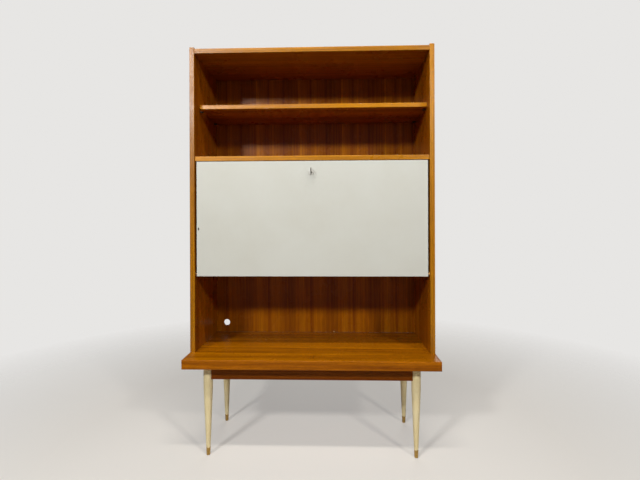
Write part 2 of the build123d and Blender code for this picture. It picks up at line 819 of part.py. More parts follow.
# ---- lock: a case let into the flap's back, its face plate, bolt, escutcheon and key ----
bolt_half = 9.0
bolt_half_thick = 1.5
bolt_back = strike_y + bolt_half_thick
bolt_front = strike_y - bolt_half_thick
bolt_head_height = 14.0
bolt_tail_gap = 1.0
bolt_slack = 0.4
keyhole_overcut = 0.5
face_plate_inset = 0.5
with BuildPart() as lock_case:
    add_box(
        (-case_width / 2 + joint_clearance, case_width / 2 - joint_clearance),
        (case_front + joint_clearance, flap_back),
        (case_bottom + joint_clearance, case_top - joint_clearance),
    )
    add_box(
        (-case_width / 2 + case_wall, case_width / 2 - case_wall),
        (case_front + case_wall, flap_back - case_wall),
        (case_bottom + case_wall, case_top - case_wall),
        Mode.SUBTRACT,
    )
    add_box(
        (-bolt_half - bolt_slack, bolt_half + bolt_slack),
        (bolt_front - bolt_slack, bolt_back + bolt_slack),
        (case_top - case_wall - cut_margin, case_top),
        Mode.SUBTRACT,
    )
    cut_keyhole(case_front, case_wall + keyhole_overcut)
save(lock_case, "lock_case")

face_front = case_front + face_plate_inset
with BuildPart() as lock_face_plate:
    add_box(
        (-case_width / 2 + joint_clearance, case_width / 2 - joint_clearance),
        (face_front, flap_back),
        (case_top, flap_top),
    )
    add_box(
        (-bolt_half - bolt_slack, bolt_half + bolt_slack),
        (bolt_front - bolt_slack, bolt_back + bolt_slack),
        (case_top, flap_top),
        Mode.SUBTRACT,
    )
save(lock_face_plate, "lock_face_plate")

with BuildPart() as lock_bolt:
    add_box((-bolt_half, bolt_half), (bolt_front, bolt_back), (flap_top - bolt_head_height, flap_top))
    add_box(
        (-bolt_half / 2, bolt_half / 2),
        (bolt_front, bolt_back),
        (lock_z + bolt_tail_gap, flap_top - bolt_head_height),
    )
save(lock_bolt, "lock_bolt")

lock_screw_x = 24.0
lock_screw_inset = 8.0
with BuildPart() as lock_screws:
    for screw_x in (-lock_screw_x, lock_screw_x):
        for screw_z in (case_bottom + lock_screw_inset, case_top - lock_screw_inset):
            place = (screw_x, screw_z)
            screw_plane = Plane(origin=(0, flap_back, 0), x_dir=(1, 0, 0), z_dir=(0, -1, 0))
            add_rod(screw_plane, place, lock_screw_head, -lock_screw_head_height)
            add_rod(screw_plane, place, wood_screw_shank, lock_screw_length)
save(lock_screws, "lock_screws")

escutcheon_radius = 13.0
escutcheon_rise = 2.0
escutcheon_edge = 1.2
with BuildPart() as escutcheon:
    add_rod(front_plane, (0, lock_z), escutcheon_radius, escutcheon_rise)
    fillet(escutcheon.faces().sort_by(Axis.Y)[0].edges(), escutcheon_edge)
    cut_keyhole(flap_front - escutcheon_rise, escutcheon_rise)
save(escutcheon, "escutcheon")

key_front = flap_front - 14.0
key_tip = case_front + 6.6
key_collar = 1.2
key_collar_length = 3.0
bit_half = 1.1
bit_start = case_front + 2.2
bit_end = key_tip - 0.2
bit_drop = 8.0
bow_overlap = 1.0
shank_radius = 2.4
bow_height = 32.0
bow_depth = 22.0
bow_bar = 3.2
bow_thickness = 2.6
with BuildPart() as key:
    shank_plane = Plane(origin=(0, key_front, 0), x_dir=(1, 0, 0), z_dir=(0, -1, 0))
    add_rod(shank_plane, (0, lock_z), shank_radius, key_front - key_tip)
    add_rod(shank_plane, (0, lock_z), shank_radius + key_collar, -key_collar_length)
    add_box((-bit_half, bit_half), (bit_start, bit_end), (lock_z - bit_drop, lock_z))
    bow_centre = key_front - bow_depth / 2 + bow_overlap
    with BuildSketch(Plane.YZ.offset(-bow_thickness / 2)) as bow_outline:
        with Locations((bow_centre, lock_z)):
            Ellipse(bow_depth / 2, bow_height / 2)
            Ellipse(bow_depth / 2 - bow_bar, bow_height / 2 - bow_bar, mode=Mode.SUBTRACT)
    extrude(bow_outline.sketch, amount=bow_thickness)
save(key, "key")

print("stay foot", (foot_y, foot_z), "stud", (stud_y, stud_z))
print("pivot", (pivot_y, pivot_z), "arm reach", arm_closed, arm_open, "tilt", arm_tilt)
print("lock axis z", lock_z, "cable hole", (cable_hole_x, cable_hole_z))
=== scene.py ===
import math

import bmesh
import bpy
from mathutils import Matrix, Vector


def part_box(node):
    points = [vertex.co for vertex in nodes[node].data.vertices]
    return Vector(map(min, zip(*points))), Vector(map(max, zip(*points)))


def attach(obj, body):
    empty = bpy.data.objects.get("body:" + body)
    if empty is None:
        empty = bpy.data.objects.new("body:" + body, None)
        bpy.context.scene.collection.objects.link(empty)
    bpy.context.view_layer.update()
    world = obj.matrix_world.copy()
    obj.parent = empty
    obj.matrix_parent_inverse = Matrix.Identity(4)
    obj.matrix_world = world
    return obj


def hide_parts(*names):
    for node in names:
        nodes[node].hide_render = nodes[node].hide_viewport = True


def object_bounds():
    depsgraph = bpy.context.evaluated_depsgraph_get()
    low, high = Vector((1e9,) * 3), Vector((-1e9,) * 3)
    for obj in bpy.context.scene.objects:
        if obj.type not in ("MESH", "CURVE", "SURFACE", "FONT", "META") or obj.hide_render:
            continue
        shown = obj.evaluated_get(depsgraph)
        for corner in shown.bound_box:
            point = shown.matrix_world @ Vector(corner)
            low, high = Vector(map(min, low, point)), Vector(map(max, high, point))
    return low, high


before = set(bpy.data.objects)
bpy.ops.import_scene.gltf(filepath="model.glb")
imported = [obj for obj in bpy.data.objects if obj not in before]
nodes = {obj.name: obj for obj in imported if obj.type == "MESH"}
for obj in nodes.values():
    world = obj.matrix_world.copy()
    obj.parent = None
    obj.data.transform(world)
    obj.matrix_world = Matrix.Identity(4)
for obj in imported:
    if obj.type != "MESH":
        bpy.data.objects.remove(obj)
cadLow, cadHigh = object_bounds()
mm = 0.001
print("frame loaded with", len(nodes), "nodes")


# small helpers for node trees


def addNode(tree, kind, inputs=None, **settings):
    made = tree.nodes.new(kind)
    for name, value in settings.items():
        setattr(made, name, value)
    for name, value in (inputs or {}).items():
        if isinstance(value, bpy.types.NodeSocket):
            tree.links.new(value, made.inputs[name])
        else:
            made.inputs[name].default_value = value
    return made


def calculate(tree, operation, first, second=0.0, third=0.0):
    node = addNode(tree, "ShaderNodeMath", {0: first, 1: second, 2: third}, operation=operation)
    return node.outputs[0]


def times(tree, value, factor):
    return calculate(tree, "MULTIPLY", value, factor)


def vectorMath(tree, operation, first, second=(0.0, 0.0, 0.0)):
    # the first output is a vector and the one named Value is a number
    node = addNode(tree, "ShaderNodeVectorMath", {0: first, 1: second}, operation=operation)
    return node.outputs


def scaled(tree, vector, factor):
    inputs = {0: vector, "Scale": factor}
    return addNode(tree, "ShaderNodeVectorMath", inputs, operation="SCALE").outputs[0]


def combine(tree, x, y, z):
    return addNode(tree, "ShaderNodeCombineXYZ", {0: x, 1: y, 2: z}).outputs[0]


def remap(tree, vector, **inputs):
    # a Mapping node, given its Location, Rotation or Scale
    return addNode(tree, "ShaderNodeMapping", {"Vector": vector, **inputs}).outputs[0]


def spread(tree, value, low, high, newLow=0.0, newHigh=1.0):
    # value from low..high to newLow..newHigh, clamped
    inputs = {"Value": value, "From Min": low, "From Max": high, "To Min": newLow, "To Max": newHigh}
    return addNode(tree, "ShaderNodeMapRange", inputs).outputs[0]


def blendColours(tree, share, first, second):
    inputs = {0: share, 6: first, 7: second}  # the colour mix's own sockets
    return addNode(tree, "ShaderNodeMix", inputs, data_type="RGBA", blend_type="MIX").outputs[2]


def noise(tree, vector, scale, detail=2.0, rough=0.5):
    inputs = {"Vector": vector, "Scale": scale, "Detail": detail, "Roughness": rough}
    return addNode(tree, "ShaderNodeTexNoise", inputs).outputs


def colour(red, green, blue):
    return (red, green, blue, 1.0)


def newGroup(name, inputs, outputs):
    tree = bpy.data.node_groups.new(name, "ShaderNodeTree")
    for label, kind, value in inputs:
        socket = tree.interface.new_socket(label, in_out="INPUT", socket_type="NodeSocket" + kind)
        if value is not None:
            socket.default_value = value
    for label, kind in outputs:
        tree.interface.new_socket(label, in_out="OUTPUT", socket_type="NodeSocket" + kind)
    return tree, tree.nodes.new("NodeGroupInput").outputs, tree.nodes.new("NodeGroupOutput")


def placeGroup(tree, group, **inputs):
    return addNode(tree, "ShaderNodeGroup", inputs, node_tree=group).outputs


def newMaterial(name):
    material = bpy.data.materials.new(name)
    material.use_nodes = True
    tree = material.node_tree
    tree.nodes.clear()
    shader = tree.nodes.new("ShaderNodeBsdfPrincipled")
    out = tree.nodes.new("ShaderNodeOutputMaterial")
    tree.links.new(shader.outputs[0], out.inputs["Surface"])
    place = tree.nodes.new("ShaderNodeTexCoord").outputs["Object"]
    return material, tree, shader, place


def linkSurface(tree, shader, base, gloss, height, relief, rounded):
    # relief is the depth, in metres, that the height stands for
    inputs = {"Height": height, "Distance": relief, "Strength": 1.0, "Normal": rounded}
    bump = addNode(tree, "ShaderNodeBump", inputs).outputs[0]
    tree.links.new(base, shader.inputs["Base Color"])
    tree.links.new(gloss, shader.inputs["Roughness"])
    tree.links.new(bump, shader.inputs["Normal"])


# effects that several finishes share

# how wood is figured: how far each layer is stretched along the grain, its noise scale, the span of
# noise that is spread from 0 to 1, and its share in the tone or the height
figure = {
    "driftStretch": (1.6, 1.6, 0.9),
    "driftScale": 1.6,
    "longStretch": (1.0, 1.0, 0.014),
    "shortStretch": (1.0, 1.0, 0.045),
    "broadScale": 17,
    "broadSpan": (0.36, 0.64),
    "broadShare": 0.38,
    "ringScale": 5.5,
    "ringCount": 15.0,
    "ringShare": 0.26,
    "bandScale": 105.0,
    "bandSpan": (0.37, 0.63),
    "bandShare": 0.36,
    "fibreScale": 420.0,
    "fibreSpan": (0.3, 0.7),
    "fibreRise": 0.5,
    "poreScale": 1700,
    "poreSpan": (0.58, 0.68),
    "poreRise": -0.8,
}


def makeGrainGroup():
    # wood whose grain runs along Z: tone across the board, fine fibres, open pores and their height
    tree, given, out = newGroup(
        "woodGrain",
        [
            ("Vector", "Vector", None),
            ("Seed", "Float", 0.0),
            ("Wander", "Float", 0.012),
            ("Fineness", "Float", 1.0),
        ],
        [("Tone", "Float"), ("Fibre", "Float"), ("Pores", "Float"), ("Height", "Float")],
    )
    seed, fineness = given["Seed"], given["Fineness"]
    moved = vectorMath(tree, "ADD", given["Vector"], combine(tree, seed, seed, seed))[0]
    # the grain drifts sideways a little as it runs
    slow = vectorMath(tree, "MULTIPLY", moved, figure["driftStretch"])[0]
    drift = noise(tree, slow, figure["driftScale"])["Color"]
    centred = vectorMath(tree, "SUBTRACT", drift, (0.5, 0.5, 0.5))[0]
    wavy = vectorMath(tree, "ADD", moved, scaled(tree, centred, given["Wander"]))[0]
    long = vectorMath(tree, "MULTIPLY", wavy, figure["longStretch"])[0]
    short = vectorMath(tree, "MULTIPLY", wavy, figure["shortStretch"])[0]
    # broad streaks, rings, bands, fibres and pores
    broad = spread(tree, noise(tree, long, figure["broadScale"])[0], *figure["broadSpan"])
    ringNoise = noise(tree, long, figure["ringScale"], detail=1.0)[0]
    ring = calculate(tree, "PINGPONG", times(tree, ringNoise, figure["ringCount"]), 1.0)
    bandScale = times(tree, fineness, figure["bandScale"])
    band = spread(tree, noise(tree, long, bandScale, detail=3.0, rough=0.6)[0], *figure["bandSpan"])
    fibreScale = times(tree, fineness, figure["fibreScale"])
    fibre = spread(tree, noise(tree, short, fibreScale, rough=0.6)[0], *figure["fibreSpan"])
    pores = spread(tree, noise(tree, short, figure["poreScale"], detail=1.0)[0], *figure["poreSpan"])
    streaks = calculate(
        tree, "MULTIPLY_ADD", broad, figure["broadShare"], times(tree, band, figure["bandShare"])
    )
    tone = calculate(tree, "MULTIPLY_ADD", ring, figure["ringShare"], streaks)
    height = calculate(
        tree, "MULTIPLY_ADD", fibre, figure["fibreRise"], times(tree, pores, figure["poreRise"])
    )
    tree.links.new(tone, out.inputs["Tone"])
    tree.links.new(fibre, out.inputs["Fibre"])
    tree.links.new(pores, out.inputs["Pores"])
    tree.links.new(height, out.inputs["Height"])
    return tree


# a face counts as an edge where rounding turns its normal by this much, given as a cosine
edgeWear = {"samples": 4, "turnSpan": (0.995, 0.80), "patchSpan": (0.38, 0.62)}


def makeEdgeGroup():
    # softly rounded edges, and a mask of where hands and cloths have rubbed them
    tree, given, out = newGroup(
        "softEdge",
        [("Vector", "Vector", None), ("Radius", "Float", 0.0008), ("Patch", "Float", 30.0)],
        [("Normal", "Vector"), ("Rub", "Float")],
    )
    radius = {"Radius": given["Radius"]}
    rounded = addNode(tree, "ShaderNodeBevel", radius, samples=edgeWear["samples"]).outputs[0]
    face = addNode(tree, "ShaderNodeNewGeometry").outputs["Normal"]
    turned = vectorMath(tree, "DOT_PRODUCT", rounded, face)["Value"]
    edge = spread(tree, turned, *edgeWear["turnSpan"])
    patchNoise = noise(tree, given["Vector"], given["Patch"], detail=3.0)[0]
    patch = spread(tree, patchNoise, *edgeWear["patchSpan"])
    tree.links.new(rounded, out.inputs["Normal"])
    tree.links.new(times(tree, edge, patch), out.inputs["Rub"])
    return tree


wiping = {
    "slant": (0.4, 0.9, 0.3),
    "stretch": (3.0, 3.0, 60.0),
    "scale": 2.0,
    "span": (0.35, 0.7),
}


def makeDustGroup():
    # faint dust as a mask, and the streaks that a cloth leaves
    tree, given, out = newGroup(
        "wipeMarks",
        [("Vector", "Vector", None), ("Size", "Float", 6.0)],
        [("Mask", "Float"), ("Streaks", "Float")],
    )
    cloudy = noise(tree, given["Vector"], given["Size"], detail=4.0, rough=0.6)[0]
    slanted = remap(tree, given["Vector"], Rotation=wiping["slant"], Scale=wiping["stretch"])
    wiped = noise(tree, slanted, wiping["scale"], detail=3.0)[0]
    tree.links.new(spread(tree, cloudy, *wiping["span"]), out.inputs["Mask"])
    tree.links.new(spread(tree, wiped, *wiping["span"]), out.inputs["Streaks"])
    return tree


grainGroup = makeGrainGroup()
edgeGroup = makeEdgeGroup()
dustGroup = makeDustGroup()
print("shared effects built")


# finishes

# what turns each grain direction to run along Z
grainTurns = {
    "z": (0.0, 0.0, 0.0),
    "x": (0.0, math.pi / 2, 0.0),
    "y": (math.pi / 2, 0.0, 0.0),
}

woods = {
    "board": {
        "dark": colour(0.190, 0.034, 0.0003),
        "light": colour(0.520, 0.165, 0.0005),
        "pore": colour(0.110, 0.020, 0.0005),
        "rubbed": colour(0.520, 0.200, 0.010),
        "wander": 0.022,
        "rough": (0.24, 0.36),
        "shine": 0.22,
        "edge": 0.0009,
        "fineness": 1.0,
    },
    "slab": {
        "dark": colour(0.125, 0.019, 0.0003),
        "light": colour(0.635, 0.218, 0.0005),
        "pore": colour(0.100, 0.018, 0.0005),
        "rubbed": colour(0.520, 0.200, 0.010),
        "wander": 0.034,
        "rough": (0.22, 0.34),
        "shine": 0.22,
        "edge": 0.0009,
        "fineness": 1.0,
    },
    # the rails' wood is darker than the boards': painted shade, for the shadow that the slab casts on
    # them
    "rail": {
        "dark": colour(0.130, 0.022, 0.0003),
        "light": colour(0.345, 0.094, 0.0004),
        "pore": colour(0.080, 0.014, 0.0004),
        "rubbed": colour(0.380, 0.140, 0.008),
        "wander": 0.014,
        "rough": (0.36, 0.48),
        "shine": 0.10,
        "edge": 0.0009,
        "fineness": 1.0,
    },
    "lipping": {
        "dark": colour(0.200, 0.060, 0.0003),
        "light": colour(0.680, 0.275, 0.0005),
        "pore": colour(0.200, 0.050, 0.0005),
        "rubbed": colour(0.700, 0.400, 0.060),
        "wander": 0.006,
        "rough": (0.27, 0.37),
        "shine": 0.45,
        "edge": 0.0022,
        "fineness": 1.7,
    },
    # a lighter copy of the lipping for the shelves' fronts: painted light, for the light that falls
    # more strongly on them than on the top board's front
    "shelfLipping": {
        "dark": colour(0.280, 0.088, 0.0003),
        "light": colour(0.820, 0.335, 0.0005),
        "pore": colour(0.280, 0.070, 0.0005),
        "rubbed": colour(0.760, 0.420, 0.060),
        "wander": 0.006,
        "rough": (0.27, 0.37),
        "shine": 0.45,
        "edge": 0.0022,
        "fineness": 1.7,
    },
    "slabLipping": {
        "dark": colour(0.140, 0.023, 0.0003),
        "light": colour(0.565, 0.174, 0.0005),
        "pore": colour(0.140, 0.026, 0.0005),
        "rubbed": colour(0.580, 0.250, 0.015),
        "wander": 0.030,
        "rough": (0.28, 0.38),
        "shine": 0.14,
        "edge": 0.0018,
        "fineness": 1.0,
    },
}


# what all the woods share
woodSurface = {
    "fibreShade": (0.80, 1.12),
    "poreShare": 0.55,
    "rubShare": 0.45,
    "relief": 0.00008,
    "dustSize": 7.0,
}

# a cluster of short dark flecks across the grain, near the middle of the slab's front
slabFlecks = {
    "place": (-0.005, -0.176, 0.416),
    "reach": (0.075, 0.030, 0.02),
    "core": 0.35,
    "grain": (150.0, 26.0, 60.0),
    "span": (0.54, 0.64),
    "share": 0.8,
    "tint": colour(0.085, 0.018, 0.001),
}


def addFlecks(tree, place, base):
    shifted = vectorMath(tree, "SUBTRACT", place, slabFlecks["place"])[0]
    inReach = vectorMath(tree, "DIVIDE", shifted, slabFlecks["reach"])[0]
    near = spread(tree, vectorMath(tree, "LENGTH", inReach)["Value"], 1.0, slabFlecks["core"])
    crossing = remap(tree, place, Scale=slabFlecks["grain"])
    dashes = spread(tree, noise(tree, crossing, 1.0, rough=0.6)[0], *slabFlecks["span"])
    share = times(tree, times(tree, near, dashes), slabFlecks["share"])
    return blendColours(tree, share, base, slabFlecks["tint"])


def makeWood(name, wood, grain, seed, flecked=False):
    material, tree, shader, place = newMaterial(name)
    look = woods[wood]
    along = remap(tree, place, Rotation=grainTurns[grain])
    grained = placeGroup(
        tree, grainGroup, Vector=along, Seed=seed, Wander=look["wander"], Fineness=look["fineness"]
    )
    edge = placeGroup(tree, edgeGroup, Vector=place, Radius=look["edge"])
    marks = placeGroup(tree, dustGroup, Vector=place, Size=woodSurface["dustSize"])
    base = blendColours(tree, grained["Tone"], look["dark"], look["light"])
    fibre = spread(tree, grained["Fibre"], 0.0, 1.0, *woodSurface["fibreShade"])
    poreShare = times(tree, grained["Pores"], woodSurface["poreShare"])
    pored = blendColours(tree, poreShare, scaled(tree, base, fibre), look["pore"])
    rubShare = times(tree, edge["Rub"], woodSurface["rubShare"])
    final = blendColours(tree, rubShare, pored, look["rubbed"])
    if flecked:
        final = addFlecks(tree, place, final)
    gloss = spread(tree, marks["Mask"], 0.0, 1.0, *look["rough"])
    shader.inputs["Specular IOR Level"].default_value = look["shine"]
    linkSurface(tree, shader, final, gloss, grained["Height"], woodSurface["relief"], edge["Normal"])
    return material


# the back panel's slip matched leaves, and its raw side against the wall; the line fade, the plain
# start and the joint width are shares of a leaf's width
veneer = {
    "leafWidth": 0.2155,
    "leafStart": -0.317,
    "leafSlip": 0.0016,
    "seed": 4.7,
    "wander": 0.02,
    "fibreShade": (0.82, 1.10),
    "plainStart": 0.5,
    "plainShade": 0.86,
    "lineSeed": 9.1,
    "lineFineness": 1.7,
    "lineSpan": (0.45, 0.75),
    "lineFade": (0.55, 0.05),
    "lineShare": 0.7,
    "lineTint": colour(0.64, 0.25, 0.004),
    "jointWidth": 0.006,
    "jointShare": 0.6,
    "rough": (0.22, 0.34),
    "edge": 0.0006,
    "dustSize": 5.0,
    "relief": 0.00006,
    "rearFace": 0.2250,
    "rearBlend": 0.0004,
    "rawDark": colour(0.42, 0.26, 0.13),
    "rawLight": colour(0.60, 0.42, 0.24),
    "rawRough": 0.7,
}

# one small pale knot low down, with a dark ring; its rings are given as shares of its radius
knot = {
    "place": (0.095, 0.4196),
    "radius": 0.0045,
    "ring": (2.2, 1.1),
    "ringShare": 0.7,
    "eye": (1.0, 0.5),
    "tint": colour(0.62, 0.36, 0.14),
}


def distanceFrom(tree, split, spot):
    # how far each point lies from a spot, seen from the front; the spot is an X and a Z
    flat = combine(tree, split[0], 0.0, split[2])
    spotX, spotZ = spot
    return vectorMath(tree, "DISTANCE", flat, (spotX, 0.0, spotZ))["Value"]


def addKnot(tree, split, base, ringTint):
    away = distanceFrom(tree, split, knot["place"])
    ring = spread(tree, away, *(share * knot["radius"] for share in knot["ring"]))
    eye = spread(tree, away, *(share * knot["radius"] for share in knot["eye"]))
    ringed = blendColours(tree, times(tree, ring, knot["ringShare"]), base, ringTint)
    return blendColours(tree, eye, ringed, knot["tint"])


def makeBackVeneer():
    # each leaf starts with dense fine bright lines and grows plainer to its right
    material, tree, shader, place = newMaterial("backVeneer")
    look = woods["board"]
    split = addNode(tree, "ShaderNodeSeparateXYZ", {0: place}).outputs
    fromStart = calculate(tree, "SUBTRACT", split[0], veneer["leafStart"])
    count = calculate(tree, "DIVIDE", fromStart, veneer["leafWidth"])
    share = calculate(tree, "FRACT", count)
    across = times(tree, share, veneer["leafWidth"])
    slip = times(tree, calculate(tree, "FLOOR", count), veneer["leafSlip"])
    leaf = combine(tree, across, slip, split[2])
    wander = veneer["wander"]
    grained = placeGroup(tree, grainGroup, Vector=leaf, Seed=veneer["seed"], Wander=wander)
    lined = placeGroup(
        tree,
        grainGroup,
        Vector=leaf,
        Seed=veneer["lineSeed"],
        Wander=wander,
        Fineness=veneer["lineFineness"],
    )
    edge = placeGroup(tree, edgeGroup, Vector=place, Radius=veneer["edge"])
    marks = placeGroup(tree, dustGroup, Vector=place, Size=veneer["dustSize"])
    base = blendColours(tree, grained["Tone"], look["dark"], look["light"])
    dense = spread(tree, share, *veneer["lineFade"])
    lines = times(tree, spread(tree, lined["Tone"], *veneer["lineSpan"]), dense)
    lit = blendColours(tree, times(tree, lines, veneer["lineShare"]), base, veneer["lineTint"])
    plain = spread(tree, share, veneer["plainStart"], 1.0, 1.0, veneer["plainShade"])
    fibre = times(tree, spread(tree, grained["Fibre"], 0.0, 1.0, *veneer["fibreShade"]), plain)
    joint = spread(tree, share, 0.0, veneer["jointWidth"], veneer["jointShare"], 0.0)
    jointed = blendColours(tree, joint, scaled(tree, lit, fibre), look["pore"])
    knotted = addKnot(tree, split, jointed, look["pore"])
    rear = spread(tree, split[1], veneer["rearFace"] - veneer["rearBlend"], veneer["rearFace"])
    raw = blendColours(tree, grained["Tone"], veneer["rawDark"], veneer["rawLight"])
    final = blendColours(tree, rear, knotted, raw)
    polished = spread(tree, marks["Mask"], 0.0, 1.0, *veneer["rough"])
    gloss = calculate(tree, "MAXIMUM", polished, times(tree, rear, veneer["rawRough"]))
    shader.inputs["Specular IOR Level"].default_value = look["shine"]
    linkSurface(tree, shader, final, gloss, grained["Height"], veneer["relief"], edge["Normal"])
    return material


laminate = {
    "white": colour(0.690, 0.690, 0.632),
    "aged": colour(0.645, 0.635, 0.565),
    "agedShare": 0.8,
    "smudge": colour(0.56, 0.52, 0.44),
    "rubShare": 0.25,
    "handPlace": (0.0, 1.17),
    "handSpan": (0.16, 0.02),
    "handShare": 0.16,
    "spotScale": 60,
    "spotSpan": (0.5, 0.72),
    "nick": colour(0.05, 0.035, 0.03),
    "nickPlace": (-0.485, 0.944),
    "nickSize": (0.004, 0.0075),
    "nickCore": 0.6,
    "pebbleScale": 900,
    "relief": 0.00003,
    "rough": (0.40, 0.50),
    "shine": 0.4,
    "edge": 0.0007,
    "dustSize": 3.5,
}


def addNick(tree, split, base):
    # one dark nick near the left edge
    nickX, nickZ = laminate["nickPlace"]
    wide, tall = laminate["nickSize"]
    flat = combine(tree, split[0], 0.0, split[2])
    centre = (-nickX / wide, 0.0, -nickZ / tall)
    inNick = remap(tree, flat, Location=centre, Scale=(1 / wide, 1.0, 1 / tall))
    away = vectorMath(tree, "LENGTH", inNick)["Value"]
    return blendColours(tree, spread(tree, away, 1.0, laminate["nickCore"]), base, laminate["nick"])


def makeLaminate():
    material, tree, shader, place = newMaterial("whiteLaminate")
    split = addNode(tree, "ShaderNodeSeparateXYZ", {0: place}).outputs
    marks = placeGroup(tree, dustGroup, Vector=place, Size=laminate["dustSize"])
    edge = placeGroup(tree, edgeGroup, Vector=place, Radius=laminate["edge"])
    age = times(tree, marks["Mask"], laminate["agedShare"])
    base = blendColours(tree, age, laminate["white"], laminate["aged"])
    # handling marks round the lock
    near = spread(tree, distanceFrom(tree, split, laminate["handPlace"]), *laminate["handSpan"])
    spotNoise = noise(tree, place, laminate["spotScale"], detail=4.0, rough=0.65)[0]
    spots = spread(tree, spotNoise, *laminate["spotSpan"])
    handled = times(tree, times(tree, near, spots), laminate["handShare"])
    used = blendColours(tree, handled, base, laminate["smudge"])
    nicked = addNick(tree, split, used)
    rubbed = times(tree, edge["Rub"], laminate["rubShare"])
    final = blendColours(tree, rubbed, nicked, laminate["smudge"])
    pebble = noise(tree, place, laminate["pebbleScale"])[0]
    gloss = spread(tree, marks["Streaks"], 0.0, 1.0, *laminate["rough"])
    shader.inputs["Specular IOR Level"].default_value = laminate["shine"]
    linkSurface(tree, shader, final, gloss, pebble, laminate["relief"], edge["Normal"])
    return material


paint = {
    "cream": colour(0.950, 0.810, 0.490),
    "yellowed": colour(0.860, 0.700, 0.370),
    "worn": colour(0.52, 0.36, 0.16),
    "stretch": (1.0, 1.0, 0.12),
    "brushScale": 220,
    "brushSpan": (0.35, 0.75),
    "brushShare": 0.35,
    "cloudScale": 14,
    "cloudSpan": (0.3, 0.7),
    "scuffScale": 90,
    "scuffSpan": (0.66, 0.74),
    "scuffShare": 0.5,
    "rough": (0.30, 0.42),
    "shine": 0.45,
    "edge": 0.0008,
    "wearPatch": 60.0,
    "relief": 0.00008,
}


def makeLegPaint():
    material, tree, shader, place = newMaterial("creamLacquer")
    tall = remap(tree, place, Scale=paint["stretch"])
    brushed = noise(tree, tall, paint["brushScale"], detail=3.0, rough=0.6)[0]
    cloudy = noise(tree, place, paint["cloudScale"], detail=3.0)[0]
    edge = placeGroup(tree, edgeGroup, Vector=place, Radius=paint["edge"], Patch=paint["wearPatch"])
    clouds = spread(tree, cloudy, *paint["cloudSpan"])
    base = blendColours(tree, clouds, paint["cream"], paint["yellowed"])
    streaks = times(tree, spread(tree, brushed, *paint["brushSpan"]), paint["brushShare"])
    streaked = blendColours(tree, streaks, base, paint["yellowed"])
    scuffNoise = noise(tree, tall, paint["scuffScale"], detail=5.0, rough=0.7)[0]
    scuffs = times(tree, spread(tree, scuffNoise, *paint["scuffSpan"]), paint["scuffShare"])
    scuffed = blendColours(tree, scuffs, streaked, paint["worn"])
    final = blendColours(tree, edge["Rub"], scuffed, paint["worn"])
    gloss = spread(tree, cloudy, *paint["cloudSpan"], *paint["rough"])
    shader.inputs["Specular IOR Level"].default_value = paint["shine"]
    linkSurface(tree, shader, final, gloss, brushed, paint["relief"], edge["Normal"])
    return material


# what metal, plastic, felt and raw wood share
plainSurface = {
    "fineShare": 0.4,
    "cloudShare": 0.6,
    "cloudScale": 0.12,
    "mixSpan": (0.36, 0.64),
    "glossSpan": (0.35, 0.65),
    "rubShare": 0.7,
    "edge": 0.0004,
    "wearPatch": 200.0,
}

# two colours, metallic, roughness range, texture stretch and scale, relief, and colour where rubbed
plainFinishes = {
    "agedBrass": {
        "first": colour(0.76, 0.50, 0.17),
        "second": colour(0.52, 0.32, 0.09),
        "metal": 0.9,
        "rough": (0.22, 0.46),
        "stretch": (1.0, 1.0, 0.3),
        "scale": 260,
        "relief": 0.00003,
        "rub": colour(0.85, 0.64, 0.30),
    },
    "zincSteel": {
        "first": colour(0.52, 0.52, 0.50),
        "second": colour(0.33, 0.32, 0.30),
        "metal": 1.0,
        "rough": (0.30, 0.52),
        "stretch": (1.0, 1.0, 1.0),
        "scale": 420,
        "relief": 0.00003,
        "rub": colour(0.70, 0.70, 0.68),
    },
    # the key's metal is much darker than nickel's own colour: partly aged metal, partly painted shade
    # for the shadow that its bow sits in
    "keyMetalAndPaintedShade": {
        "first": colour(0.15, 0.125, 0.095),
        "second": colour(0.08, 0.065, 0.05),
        "metal": 1.0,
        "rough": (0.28, 0.46),
        "stretch": (1.0, 0.4, 1.0),
        "scale": 300,
        "relief": 0.00002,
        "rub": colour(0.30, 0.27, 0.22),
    },
    "paleNickel": {
        "first": colour(0.80, 0.79, 0.74),
        "second": colour(0.62, 0.60, 0.54),
        "metal": 0.6,
        "rough": (0.42, 0.55),
        "stretch": (1.0, 1.0, 1.0),
        "scale": 420,
        "relief": 0.00002,
        "rub": colour(0.95, 0.93, 0.88),
    },
    "darkMoulding": {
        "first": colour(0.035, 0.022, 0.014),
        "second": colour(0.018, 0.012, 0.009),
        "metal": 0.0,
        "rough": (0.34, 0.5),
        "stretch": (1.0, 1.0, 1.0),
        "scale": 700,
        "relief": 0.00002,
        "rub": colour(0.08, 0.06, 0.045),
    },
    "glideNylon": {
        "first": colour(0.50, 0.47, 0.40),
        "second": colour(0.30, 0.27, 0.22),
        "metal": 0.0,
        "rough": (0.45, 0.65),
        "stretch": (1.0, 1.0, 1.0),
        "scale": 500,
        "relief": 0.00003,
        "rub": colour(0.22, 0.2, 0.17),
    },
    "greenFelt": {
        "first": colour(0.045, 0.10, 0.050),
        "second": colour(0.022, 0.055, 0.028),
        "metal": 0.0,
        "rough": (0.88, 1.0),
        "stretch": (1.0, 1.0, 1.0),
        "scale": 1600,
        "relief": 0.0004,
        "rub": colour(0.07, 0.13, 0.08),
    },
    "rawSoftwood": {
        "first": colour(0.66, 0.48, 0.28),
        "second": colour(0.50, 0.32, 0.16),
        "metal": 0.0,
        "rough": (0.62, 0.8),
        "stretch": (1.0, 1.0, 0.06),
        "scale": 240,
        "relief": 0.0001,
        "rub": colour(0.70, 0.55, 0.36),
    },
}


